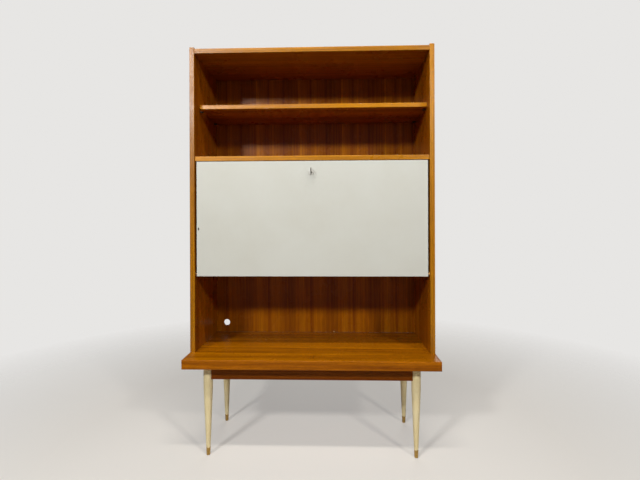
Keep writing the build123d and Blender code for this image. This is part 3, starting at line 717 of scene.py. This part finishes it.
def makePlainFinish(name):
    look = plainFinishes[name]
    shared = plainSurface
    material, tree, shader, place = newMaterial(name)
    drawn = remap(tree, place, Scale=look["stretch"])
    fine = noise(tree, drawn, look["scale"], detail=3.0, rough=0.6)[0]
    cloudy = noise(tree, place, look["scale"] * shared["cloudScale"], detail=3.0)[0]
    edge = placeGroup(tree, edgeGroup, Vector=place, Radius=shared["edge"], Patch=shared["wearPatch"])
    mixed = calculate(
        tree, "MULTIPLY_ADD", cloudy, shared["cloudShare"], times(tree, fine, shared["fineShare"])
    )
    base = blendColours(tree, spread(tree, mixed, *shared["mixSpan"]), look["first"], look["second"])
    final = blendColours(tree, times(tree, edge["Rub"], shared["rubShare"]), base, look["rub"])
    gloss = spread(tree, cloudy, *shared["glossSpan"], *look["rough"])
    shader.inputs["Metallic"].default_value = look["metal"]
    linkSurface(tree, shader, final, gloss, fine, look["relief"], edge["Normal"])
    return material


# wood, way its grain runs, seed, and whether it has the flecks
woodFinishes = {
    "sideVeneer": ("board", "z", 1.3),
    "boardVeneerX": ("board", "x", 2.9),
    "boardVeneerZ": ("board", "z", 7.7),
    "slabVeneer": ("slab", "x", 11.2, True),
    "railVeneerPaintedShadeX": ("rail", "x", 6.8),
    "railVeneerPaintedShadeY": ("rail", "y", 9.6),
    "lippingX": ("lipping", "x", 3.3),
    "lippingZ": ("lipping", "z", 8.4),
    "shelfLippingPaintedLightX": ("shelfLipping", "x", 5.6),
    "slabLippingX": ("slabLipping", "x", 4.9),
    "slabLippingY": ("slabLipping", "y", 6.1),
}

finishes = {
    "backVeneer": makeBackVeneer(),
    "whiteLaminate": makeLaminate(),
    "creamLacquer": makeLegPaint(),
}
for finishName, choices in woodFinishes.items():
    finishes[finishName] = makeWood(finishName, *choices)
for finishName in plainFinishes:
    finishes[finishName] = makePlainFinish(finishName)

# which finish each carried-over node wears
wearing = {
    "sideVeneer": ["side_panel_left", "side_panel_right"],
    "boardVeneerX": [
        "top_board", "fixed_shelf", "writing_floor", "adjustable_shelf", "inner_shelf", "flap_panel",
    ],
    "boardVeneerZ": ["inner_divider_left", "inner_divider_right"],
    "railVeneerPaintedShadeX": ["front_rail", "back_rail"],
    "railVeneerPaintedShadeY": ["side_rail_left", "side_rail_right"],
    "slabVeneer": ["bench_slab"],
    "lippingX": ["top_board_lipping"],
    "shelfLippingPaintedLightX": ["fixed_shelf_lipping", "adjustable_shelf_lipping"],
    "slabLippingX": ["slab_lipping_front"],
    "slabLippingY": ["slab_lipping_left", "slab_lipping_right"],
    "lippingZ": ["side_lipping_left", "side_lipping_right"],
    "backVeneer": ["back_panel"],
    "whiteLaminate": ["flap_front_laminate"],
    "creamLacquer": ["leg_front_left", "leg_front_right", "leg_back_left", "leg_back_right"],
    "rawSoftwood": ["corner_blocks", "carcass_dowels", "flap_stop_blocks"],
    "agedBrass": [
        "ferrule_front_left", "ferrule_front_right", "ferrule_back_left", "ferrule_back_right",
        "pivot_pins", "pivot_bushes", "escutcheon", "lock_case", "lock_face_plate", "lock_bolt",
        "strike_plate", "stay_arm_left", "stay_arm_right", "stay_brackets", "stay_rivets", "stay_studs",
    ],
    "zincSteel": [
        "back_screws", "cabinet_screws", "hanger_bolts", "hanger_nuts", "slab_screws",
        "strike_screws", "bracket_screws", "lock_screws",
    ],
    "darkMoulding": ["shelf_pins"],
    "greenFelt": ["flap_stop_pads"],
    "glideNylon": ["floor_glides"],
    "keyMetalAndPaintedShade": ["key"],
}


def dress(piece, finishName):
    piece.data.materials.clear()
    piece.data.materials.append(finishes[finishName])


for finishName, dressed in wearing.items():
    for nodeName in dressed:
        dress(nodes[nodeName], finishName)
bare = sorted(set(nodes) - {nodeName for dressed in wearing.values() for nodeName in dressed})
print("finishes on every node, left bare:", bare)


# modelling helpers


def clearSelection():
    if bpy.context.object and bpy.context.object.mode != "OBJECT":
        bpy.ops.object.mode_set(mode="OBJECT")
    bpy.ops.object.select_all(action="DESELECT")


def choose(*chosen):
    clearSelection()
    for piece in chosen:
        piece.select_set(True)
    bpy.context.view_layer.objects.active = chosen[0]


def bakePlace(piece):
    choose(piece)
    bpy.ops.object.transform_apply(location=True, rotation=True, scale=True)


# turns +Z to face along each axis
facings = {
    "up": (0.0, 0.0, 0.0),
    "down": (math.pi, 0.0, 0.0),
    "front": (math.pi / 2, 0.0, 0.0),
    "rear": (-math.pi / 2, 0.0, 0.0),
    "right": (0.0, math.pi / 2, 0.0),
    "left": (0.0, -math.pi / 2, 0.0),
}


def setDown(piece, place, facing="up"):
    piece.rotation_euler = facings[facing]
    piece.location = place
    bakePlace(piece)
    return piece


def copyPiece(piece, name):
    twin = piece.copy()
    twin.data = piece.data.copy()
    twin.name = name
    bpy.context.collection.objects.link(twin)
    return twin


def turnPiece(name, profile, sides):
    # a turned shape along +Z from (height, radius) steps, closed at both ends
    clearSelection()
    height, radius = profile[0]
    bpy.ops.mesh.primitive_circle_add(
        vertices=sides, radius=radius, fill_type="NGON", location=(0, 0, height)
    )
    piece = bpy.context.object
    piece.name = name
    bakePlace(piece)
    bpy.ops.object.mode_set(mode="EDIT")
    bpy.ops.mesh.select_all(action="SELECT")
    for nextHeight, nextRadius in profile[1:]:
        bpy.ops.mesh.extrude_region_move(TRANSFORM_OT_translate={"value": (0, 0, nextHeight - height)})
        ratio = nextRadius / radius
        bpy.ops.transform.resize(value=(ratio, ratio, 1), center_override=(0, 0, nextHeight))
        height, radius = nextHeight, nextRadius
    bpy.ops.mesh.select_all(action="SELECT")
    bpy.ops.mesh.normals_make_consistent(inside=False)
    bpy.ops.object.mode_set(mode="OBJECT")
    return piece


def addBlock(name, low, high):
    # a block between two corners, to be cut or to cut with
    clearSelection()
    size = [b - a for a, b in zip(low, high)]
    middle = [(a + b) / 2 for a, b in zip(low, high)]
    bpy.ops.mesh.primitive_cube_add(size=1, location=middle)
    block = bpy.context.object
    block.name = name
    block.scale = size
    bakePlace(block)
    return block


def cutAway(piece, *cutters):
    for cutter in cutters:
        choose(piece)
        bpy.ops.object.modifier_add(type="BOOLEAN")
        piece.modifiers[-1].operation = "DIFFERENCE"
        piece.modifiers[-1].solver = "EXACT"
        piece.modifiers[-1].object = cutter
        bpy.ops.object.modifier_apply(modifier=piece.modifiers[-1].name)
        bpy.data.objects.remove(cutter)
    return piece


def joinPieces(name, parts):
    choose(*parts)
    if len(parts) > 1:
        bpy.ops.object.join()
    joined = bpy.context.object
    joined.name = name
    bakePlace(joined)
    return joined


smoothAngle = 34  # degrees between faces, past which an edge stays sharp
mergeDistance = 0.01 * mm


def complete(piece, body, slotName, finishName, *replaced):
    choose(piece)
    bpy.ops.object.shade_smooth_by_angle(angle=math.radians(smoothAngle))
    dress(piece, finishName)
    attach(piece, body)
    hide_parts(*replaced)


def solidsOf(nodeName):
    # low and high corner of each separate solid in a node
    shape = bmesh.new()
    shape.from_mesh(nodes[nodeName].data)
    bmesh.ops.remove_doubles(shape, verts=shape.verts, dist=mergeDistance)
    waiting = set(shape.verts)
    found = []
    while waiting:
        solid = [waiting.pop()]
        for vertex in solid:
            for edge in vertex.link_edges:
                other = edge.other_vert(vertex)
                if other in waiting:
                    waiting.discard(other)
                    solid.append(other)
        low = [min(v.co[i] for v in solid) for i in range(3)]
        high = [max(v.co[i] for v in solid) for i in range(3)]
        found.append((Vector(low), Vector(high)))
    shape.free()
    return sorted(found, key=lambda corners: tuple(corners[0]))


# legs' brass ferrules and nylon glides

ferrule = {
    "topRadius": 8.7 * mm,
    "bottomRadius": 7.5 * mm,
    "wall": 0.8 * mm,
    "innerFloor": 0.72 * mm,
    # height above the foot, and how far the step is set in
    "footSteps": ((0.0, 1.1 * mm), (0.25 * mm, 0.5 * mm), (0.9 * mm, 0.0)),
    # depth below the top, and how far the step stands out
    "lipSteps": (
        (2.2 * mm, -0.05 * mm),
        (1.7 * mm, 0.35 * mm),
        (0.8 * mm, 0.455 * mm),
        (0.2 * mm, 0.35 * mm),
        (0.0, 0.0),
    ),
}


def footOf(low, high):
    # the middle of a box's underside
    return ((low.x + high.x) / 2, (low.y + high.y) / 2, low.z)


def makeFerrule(tall):
    top, bottom, wall = (ferrule[key] for key in ("topRadius", "bottomRadius", "wall"))
    profile = [(height, bottom - inset) for height, inset in ferrule["footSteps"]]
    profile += [(tall - depth, top + out) for depth, out in ferrule["lipSteps"]]
    profile += [(tall, top - wall), (ferrule["innerFloor"], bottom - wall)]
    return turnPiece("ferrule", profile, sides=48)


def makeFerrules():
    low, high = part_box("ferrule_front_left")
    master = makeFerrule(high.z - low.z)
    for corner in ("front_left", "front_right", "back_left", "back_right"):
        cup = copyPiece(master, "brassFerrule_" + corner)
        setDown(cup, footOf(*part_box("ferrule_" + corner)))
        complete(cup, "carcass", "brass", "agedBrass", "ferrule_" + corner)
    bpy.data.objects.remove(master)


glide = {
    # height above the floor, and radius as a share of the glide's
    "footSteps": ((0.0, 0.72), (0.15 * mm, 0.88), (0.5 * mm, 1.0)),
}


def makeGlides():
    found = solidsOf("floor_glides")
    low, high = found[0]
    radius = (high.x - low.x) / 2
    profile = [(height, radius * share) for height, share in glide["footSteps"]]
    master = turnPiece("glide", profile + [(high.z - low.z, radius)], sides=32)
    parts = [setDown(copyPiece(master, "glide"), footOf(*corners)) for corners in found]
    bpy.data.objects.remove(master)
    complete(joinPieces("floorGlides", parts), "carcass", "glide", "glideNylon", "floor_glides")


# moulded shelf pins with a flange against the side

shelfPin = {
    "stemRadius": 2.4 * mm,
    "stemLength": 9.5 * mm,
    "stemPoint": 1.0 * mm,
    "pointShare": 0.7,
    "flangeThick": 1.6 * mm,
    "flangeStep": 0.4 * mm,
    "noseShare": 0.82,
    # depth behind the nose's end, and radius as a share of the flange's
    "noseSteps": ((1.2 * mm, 0.82), (0.3 * mm, 0.70), (0.0, 0.45)),
}


def makeShelfPin(radius, reach):
    # upright here: the stem, which goes into the side, runs down and the nose rises from the flange
    stem, length = shelfPin["stemRadius"], shelfPin["stemLength"]
    thick = shelfPin["flangeThick"]
    profile = [
        (-length, stem * shelfPin["pointShare"]),
        (shelfPin["stemPoint"] - length, stem),
        (0.0, stem),
        (0.0, radius),
        (thick, radius),
        (thick + shelfPin["flangeStep"], radius * shelfPin["noseShare"]),
    ]
    profile += [(reach - depth, radius * share) for depth, share in shelfPin["noseSteps"]]
    return turnPiece("pin", profile, sides=28)


def makeShelfPins():
    leftSide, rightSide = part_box("side_panel_left")[1].x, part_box("side_panel_right")[0].x
    found = solidsOf("shelf_pins")
    low, high = found[0]  # one of the left pins
    master = makeShelfPin((high.z - low.z) / 2, high.x - leftSide)
    parts = []
    for low, high in found:
        isLeft = low.x < 0
        place = (leftSide if isLeft else rightSide, (low.y + high.y) / 2, (low.z + high.z) / 2)
        parts.append(setDown(copyPiece(master, "pin"), place, "right" if isLeft else "left"))
    bpy.data.objects.remove(master)
    complete(joinPieces("shelfPins", parts), "carcass", "dark_pin", "darkMoulding", "shelf_pins")


# slotted wood screws; sizes are shares of the head's radius

screw = {
    "flatRise": 0.10,
    "domedRise": 0.30,
    "shank": 0.46,
    "neck": 0.9,
    "tip": 0.06,
    "tipLength": 1.6,
    "tipStart": 0.8,  # share of the shank
    "rimDrop": 0.12,
    "rimShare": 0.97,
    # share of the rise below the head's top, and radius
    "headSteps": ((1.0, 1.0), (0.45, 0.80), (0.12, 0.45), (0.0, 0.12)),
    "slotWidth": 0.19,
    "slotDepth": 0.24,
    "slotReach": 1.3,
    "turnEach": 37,  # degrees from one screw to the next
    "turnSet": 11,  # and for each letter of its set's name
}


def makeScrew(radius, length, domed):
    # the top of its head lies at the height of zero and its shank runs down
    rise = radius * (screw["domedRise"] if domed else screw["flatRise"])
    profile = [
        (-length, radius * screw["tip"]),
        (radius * screw["tipLength"] - length, radius * screw["shank"] * screw["tipStart"]),
        (-radius * screw["neck"], radius * screw["shank"]),
        (-rise - radius * screw["rimDrop"], radius * screw["rimShare"]),
    ]
    profile += [(-rise * below, radius * share) for below, share in screw["headSteps"]]
    made = turnPiece("screw", profile, sides=24)
    wide = radius * screw["slotWidth"] / 2
    deep = rise + radius * screw["slotDepth"]
    reach = radius * screw["slotReach"]
    slotCut = addBlock("slotCut", (-reach, -wide, -deep), (reach, wide, rise + radius))
    return cutAway(made, slotCut)


# node: piece name, body, way its heads face, domed heads
screwSets = {
    "back_screws": ("backScrews", "carcass", "rear", False),
    "cabinet_screws": ("cabinetScrews", "carcass", "down", True),
    "slab_screws": ("slabScrews", "carcass", "down", True),
    "strike_screws": ("strikeScrews", "carcass", "down", False),
    "bracket_screws": ("bracketScrews", "flap", "rear", False),
    "lock_screws": ("lockScrews", "flap", "rear", True),
}


def makeScrews():
    for nodeName, (pieceName, body, facing, domed) in screwSets.items():
        found = solidsOf(nodeName)
        size = found[0][1] - found[0][0]
        master = makeScrew(size.x / 2, size.z if facing == "down" else size.y, domed)
        parts = []
        for number, (low, high) in enumerate(found):
            middle = (low + high) / 2
            rearHead = (middle.x, high.y, middle.z)
            head = footOf(low, high) if facing == "down" else rearHead
            part = copyPiece(master, "screw")
            # each one was driven home at its own angle
            turn = screw["turnEach"] * number + screw["turnSet"] * len(nodeName)
            part.rotation_euler = (0.0, 0.0, math.radians(turn))
            bakePlace(part)
            parts.append(setDown(part, head, facing))
        bpy.data.objects.remove(master)
        complete(joinPieces(pieceName, parts), body, "steel", "zincSteel", nodeName)


# nuts and washers that pull the legs into their corners

nut = {
    "washerRadius": 8.0 * mm,
    "washerThick": 1.4 * mm,
    "washerEdge": 0.2 * mm,
    "cornerRadius": 5.8 * mm,
    "thick": 5.0 * mm,
    "crown": 0.7 * mm,
    "crownInset": 0.84 * mm,
    "boltRadius": 3.0 * mm,
    "fit": 0.05 * mm,
}


def makeNut():
    # the washer and then the nut rise along +Z, both bored for the bolt
    tall = nut["washerThick"] + nut["thick"]
    thick, wide, edge = nut["washerThick"], nut["washerRadius"], nut["washerEdge"]
    washer = [(0.0, wide - edge), (edge, wide), (thick - edge, wide), (thick, wide - edge)]
    corner = nut["cornerRadius"]
    hexagon = [
        (thick / 2, corner),
        (tall - nut["crown"], corner),
        (tall, corner - nut["crownInset"]),
    ]
    bored = []
    for name, profile, sides in (("washer", washer, 40), ("nutBody", hexagon, 6)):
        piece = turnPiece(name, profile, sides=sides)
        bore = nut["boltRadius"] + nut["fit"]
        hole = turnPiece("hole", [(-tall, bore), (2 * tall, bore)], sides=32)
        bored.append(cutAway(piece, hole))
    return joinPieces("nut", bored)


def makeNuts():
    parts = []
    master = makeNut()
    rim = nut["washerRadius"] * math.sqrt(0.5)
    for low, high in solidsOf("hanger_nuts"):
        # the washer lies against the block's diagonal face, its axis level with the solid's middle
        isRight, isBack = high.x > 0, high.y > 0
        faceX = high.x - rim if isRight else low.x + rim
        faceY = high.y - rim if isBack else low.y + rim
        inward = Vector((-1 if isRight else 1, -1 if isBack else 1, 0)).normalized()
        part = copyPiece(master, "nut")
        part.rotation_euler = inward.to_track_quat("Z", "X").to_euler()
        part.location = (faceX, faceY, (low.z + high.z) / 2)
        bakePlace(part)
        parts.append(part)
    bpy.data.objects.remove(master)
    complete(joinPieces("hangerNuts", parts), "carcass", "steel", "zincSteel", "hanger_nuts")


# the key plate and the key

escutcheon = {
    "rearShare": 0.97,
    "rearEdge": 0.35 * mm,
    # depth below the plate's top, and radius as a share of the plate's
    "rimSteps": ((0.45 * mm, 0.985), (0.1 * mm, 0.93), (0.1 * mm, 0.87)),
    "dish": 0.7 * mm,
    "dishShares": (0.80, 0.44),
    "collarSteps": ((0.35 * mm, 0.40), (0.05 * mm, 0.35), (0.0, 0.28)),
    "holeRadius": 2.9 * mm,
    "slotHalf": 1.3 * mm,
    "slotDrop": 8.2 * mm,
    "nailPlace": 8.649 * mm,
    "nailRadius": 0.95 * mm,
    # height above the dish, and radius as a share of the nail head's
    "nailSteps": ((0.0, 1.0), (0.25 * mm, 1.0), (0.6 * mm, 0.72), (0.75 * mm, 0.2)),
}


def makeEscutcheon():
    low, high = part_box("escutcheon")
    radius, rise = (high.x - low.x) / 2, high.y - low.y
    middle = Vector(((low.x + high.x) / 2, high.y, (low.z + high.z) / 2))
    dish = escutcheon["dish"]
    profile = [(0.0, radius * escutcheon["rearShare"]), (escutcheon["rearEdge"], radius)]
    profile += [(rise - depth, radius * share) for depth, share in escutcheon["rimSteps"]]
    profile += [(rise - dish, radius * share) for share in escutcheon["dishShares"]]
    profile += [(rise - depth, radius * share) for depth, share in escutcheon["collarSteps"]]
    plate = setDown(turnPiece("plate", profile, sides=56), middle, "front")
    # the keyhole goes right through: a round bore with a slot below it
    hole, half = escutcheon["holeRadius"], escutcheon["slotHalf"]
    bore = turnPiece("bore", [(-2 * rise, hole), (3 * rise, hole)], sides=32)
    setDown(bore, middle, "front")
    slotLow = (-half, middle.y - 2 * rise, middle.z - escutcheon["slotDrop"])
    slotHigh = (half, middle.y + rise, middle.z)
    cutAway(plate, bore, addBlock("keySlot", slotLow, slotHigh))
    parts = [plate]
    nailHead = [(height, escutcheon["nailRadius"] * share) for height, share in escutcheon["nailSteps"]]
    master = turnPiece("nail", nailHead, sides=16)
    for side in (-1, 1):
        place = (side * escutcheon["nailPlace"], middle.y - rise + dish, middle.z)
        parts.append(setDown(copyPiece(master, "nail"), place, "front"))
    bpy.data.objects.remove(master)
    complete(joinPieces("keyPlate", parts), "flap", "brass", "paleNickel", "escutcheon")


keyShape = {
    "bowHeight": 32.0 * mm,
    "bowDepth": 22.0 * mm,
    "bowFlat": 0.85,  # share of the bar's thickness kept from side to side
    "bar": 3.6 * mm,
    "bowSink": 0.75,  # share of the bar that the stem reaches into the bow
    "stemRadius": 2.1 * mm,
    # distance from the bow, and radius as a share of the stem's
    "stemSteps": (
        (0.0, 0.7),
        (0.6 * mm, 1.25),
        (1.9 * mm, 1.45),
        (2.6 * mm, 1.05),
        (3.2 * mm, 1.05),
        (3.6 * mm, 1.5),
        (4.8 * mm, 1.5),
        (5.3 * mm, 1.0),
    ),
    "endRound": 0.6 * mm,
    "endShare": 0.7,
    "bitThick": 2.0 * mm,
    "bitDrop": 7.8 * mm,
    "bitLength": 4.2 * mm,
    "bitInset": 0.3 * mm,
    "bitRoot": 0.5,  # share of the stem's radius that the bit starts below its axis
    "wardHalf": 0.5 * mm,
    # place along the bit as a share of its length, and depth
    "wards": ((0.32, 2.6 * mm), (0.70, 1.8 * mm)),
}


def makeBow(bowY, axisZ):
    bar = keyShape["bar"] / 2
    clearSelection()
    bpy.ops.mesh.primitive_torus_add(
        major_radius=keyShape["bowHeight"] / 2 - bar,
        minor_radius=bar,
        major_segments=64,
        minor_segments=16,
        location=(0, bowY, axisZ),
        rotation=(0, math.pi / 2, 0),
    )
    bow = bpy.context.object
    bakePlace(bow)
    bpy.ops.object.mode_set(mode="EDIT")
    bpy.ops.mesh.select_all(action="SELECT")
    flatten = (keyShape["bowFlat"], keyShape["bowDepth"] / keyShape["bowHeight"], 1)
    bpy.ops.transform.resize(value=flatten, center_override=(0, bowY, axisZ))
    bpy.ops.object.mode_set(mode="OBJECT")
    return bow


def makeBit(endY, axisZ):
    # the bit hangs below the stem, with two wards cut up into its foot
    half, foot = keyShape["bitThick"] / 2, axisZ - keyShape["bitDrop"]
    start = endY - keyShape["bitLength"]
    root = axisZ - keyShape["stemRadius"] * keyShape["bitRoot"]
    bit = addBlock("bit", (-half, start, foot), (half, endY, root))
    wards = []
    past = 3 * half  # the cuts run out past both faces and the foot
    for share, depth in keyShape["wards"]:
        middle = start + keyShape["bitLength"] * share
        wardLow = (-past, middle - keyShape["wardHalf"], foot - past)
        wardHigh = (past, middle + keyShape["wardHalf"], foot + depth)
        wards.append(addBlock("ward", wardLow, wardHigh))
    return cutAway(bit, *wards)


def makeKey():
    low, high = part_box("key")
    axisZ = (low.z + high.z) / 2
    bowY = low.y + keyShape["bowDepth"] / 2
    bow = makeBow(bowY, axisZ)
    start = bowY + keyShape["bowDepth"] / 2 - keyShape["bar"] * keyShape["bowSink"]
    length, thin = high.y - start, keyShape["stemRadius"]
    profile = [(away, thin * share) for away, share in keyShape["stemSteps"]]
    profile += [(length - keyShape["endRound"], thin), (length, thin * keyShape["endShare"])]
    stem = setDown(turnPiece("stem", profile, sides=32), (0, start, axisZ), "rear")
    bit = makeBit(high.y - keyShape["bitInset"], axisZ)
    complete(joinPieces("cabinetKey", [bow, stem, bit]), "key", "key_metal", "keyMetalAndPaintedShade", "key")


makeFerrules()
makeGlides()
makeShelfPins()
print("turned feet and pins made")
makeScrews()
makeNuts()
print("screws and nuts made")
makeEscutcheon()
makeKey()
print("key and key plate made")


# stage: floor, surroundings, camera and lights

studio = {
    "floorHalf": 4.0,
    "floorColour": (0.62, 0.585, 0.535, 1),
    "floorShade": 0.94,
    "floorClouds": 1.2,
    "floorRough": 0.65,
    "floorFade": (1.1, 2.6),
    "floorLift": 0.34,
    "seenBackground": (0.80, 0.79, 0.775, 1),
    "fillLight": (1.0, 0.97, 0.94, 1),
    "fillStrength": 0.010,
    "gleamStrength": 0.10,
}


def addFloor(settings):
    clearSelection()
    bpy.ops.mesh.primitive_plane_add(size=settings["floorHalf"] * 2, location=(0, 0, cadLow.z))
    floor = bpy.context.object
    floor.name = "floor"
    material, tree, shader, place = newMaterial("studioFloor")
    cloudy = noise(tree, place, settings["floorClouds"], detail=3.0)[0]
    darker = tuple(part * settings["floorShade"] for part in settings["floorColour"][:3]) + (1.0,)
    base = blendColours(tree, cloudy, settings["floorColour"], darker)
    tree.links.new(base, shader.inputs["Base Color"])
    shader.inputs["Roughness"].default_value = settings["floorRough"]
    # the floor melts into the pale surroundings, and can't be seen from below
    reach = vectorMath(tree, "LENGTH", place)["Value"]
    inner, outer = settings["floorFade"]
    below = addNode(tree, "ShaderNodeNewGeometry").outputs["Backfacing"]
    above = calculate(tree, "SUBTRACT", 1.0, below)
    tree.links.new(times(tree, spread(tree, reach, outer, inner), above), shader.inputs["Alpha"])
    # only the camera sees its slight glow
    seen = addNode(tree, "ShaderNodeLightPath").outputs["Is Camera Ray"]
    glow = times(tree, seen, settings["floorLift"])
    shader.inputs["Emission Color"].default_value = settings["seenBackground"]
    tree.links.new(glow, shader.inputs["Emission Strength"])
    floor.data.materials.append(material)


def addWorld(settings):
    # the camera sees a pale surround, while shiny faces and all else are lit by dimmer ones
    world = bpy.data.worlds.new("studio")
    bpy.context.scene.world = world
    world.use_nodes = True
    tree = world.node_tree
    tree.nodes.clear()

    def surround(tint, strength):
        inputs = {"Color": tint, "Strength": strength}
        return addNode(tree, "ShaderNodeBackground", inputs).outputs[0]

    seen = surround(settings["seenBackground"], 1.0)
    fill = surround(settings["fillLight"], settings["fillStrength"])
    gleam = surround(settings["seenBackground"], settings["gleamStrength"])
    rays = addNode(tree, "ShaderNodeLightPath").outputs
    unseen = addNode(tree, "ShaderNodeMixShader", {0: rays["Is Glossy Ray"], 1: fill, 2: gleam})
    both = addNode(
        tree, "ShaderNodeMixShader", {0: rays["Is Camera Ray"], 1: unseen.outputs[0], 2: seen}
    )
    addNode(tree, "ShaderNodeOutputWorld", {"Surface": both.outputs[0]})


camera = {
    "place": (0.0924, -1.8787, 0.9637),
    "turnLeft": 0.0316,
    "roll": 0.0031,
    "lens": 23.302,
    "sensorWidth": 36,
    "shiftUp": -0.0249,
    "nearest": 0.05,
}


def addCamera(settings):
    data = bpy.data.cameras.new("camera")
    data.lens = settings["lens"]
    data.sensor_width = settings["sensorWidth"]
    data.shift_y = settings["shiftUp"]
    data.clip_start = settings["nearest"]
    eye = bpy.data.objects.new("camera", data)
    bpy.context.collection.objects.link(eye)
    eye.location = settings["place"]
    eye.rotation_euler = (math.pi / 2, settings["roll"], settings["turnLeft"])
    bpy.context.scene.camera = eye


# name: place, aim, width, height, watts, colour
lamps = {
    "overheadLamp": ((0.05, -1.40, 3.50), (0.0, -0.10, 0.4), 1.7, 0.18, 54, (1.0, 0.97, 0.92)),
    "leftWindow": ((-1.68, -2.95, 2.56), (0.0, 0.0, 1.0), 0.36, 0.32, 58, (0.97, 0.99, 1.0)),
    "rightWindow": ((2.20, -3.00, 2.62), (0.0, 0.0, 1.0), 0.34, 0.30, 40, (1.0, 0.98, 0.94)),
    "backWindow": ((-0.10, -4.30, 1.35), (0.0, 0.0, 1.0), 2.3, 1.1, 5, (0.97, 0.99, 1.0)),
    "rearSoft": ((0.30, 3.20, 2.10), (0.0, 0.2, 0.9), 2.6, 1.8, 30, (1.0, 0.98, 0.95)),
}


def addLamp(name, place, aim, width, height, watts, colour):
    data = bpy.data.lights.new(name, "AREA")
    data.shape = "RECTANGLE"
    data.size = width
    data.size_y = height
    data.energy = watts
    data.color = colour
    lamp = bpy.data.objects.new(name, data)
    bpy.context.collection.objects.link(lamp)
    lamp.location = place
    lamp.rotation_euler = (Vector(aim) - Vector(place)).to_track_quat("-Z", "Y").to_euler()


bpy.context.scene.view_settings.view_transform = "Standard"
addWorld(studio)
addFloor(studio)
addCamera(camera)
for lampName, settings in lamps.items():
    addLamp(lampName, *settings)
print("stage, camera and", len(lamps), "lamps placed")
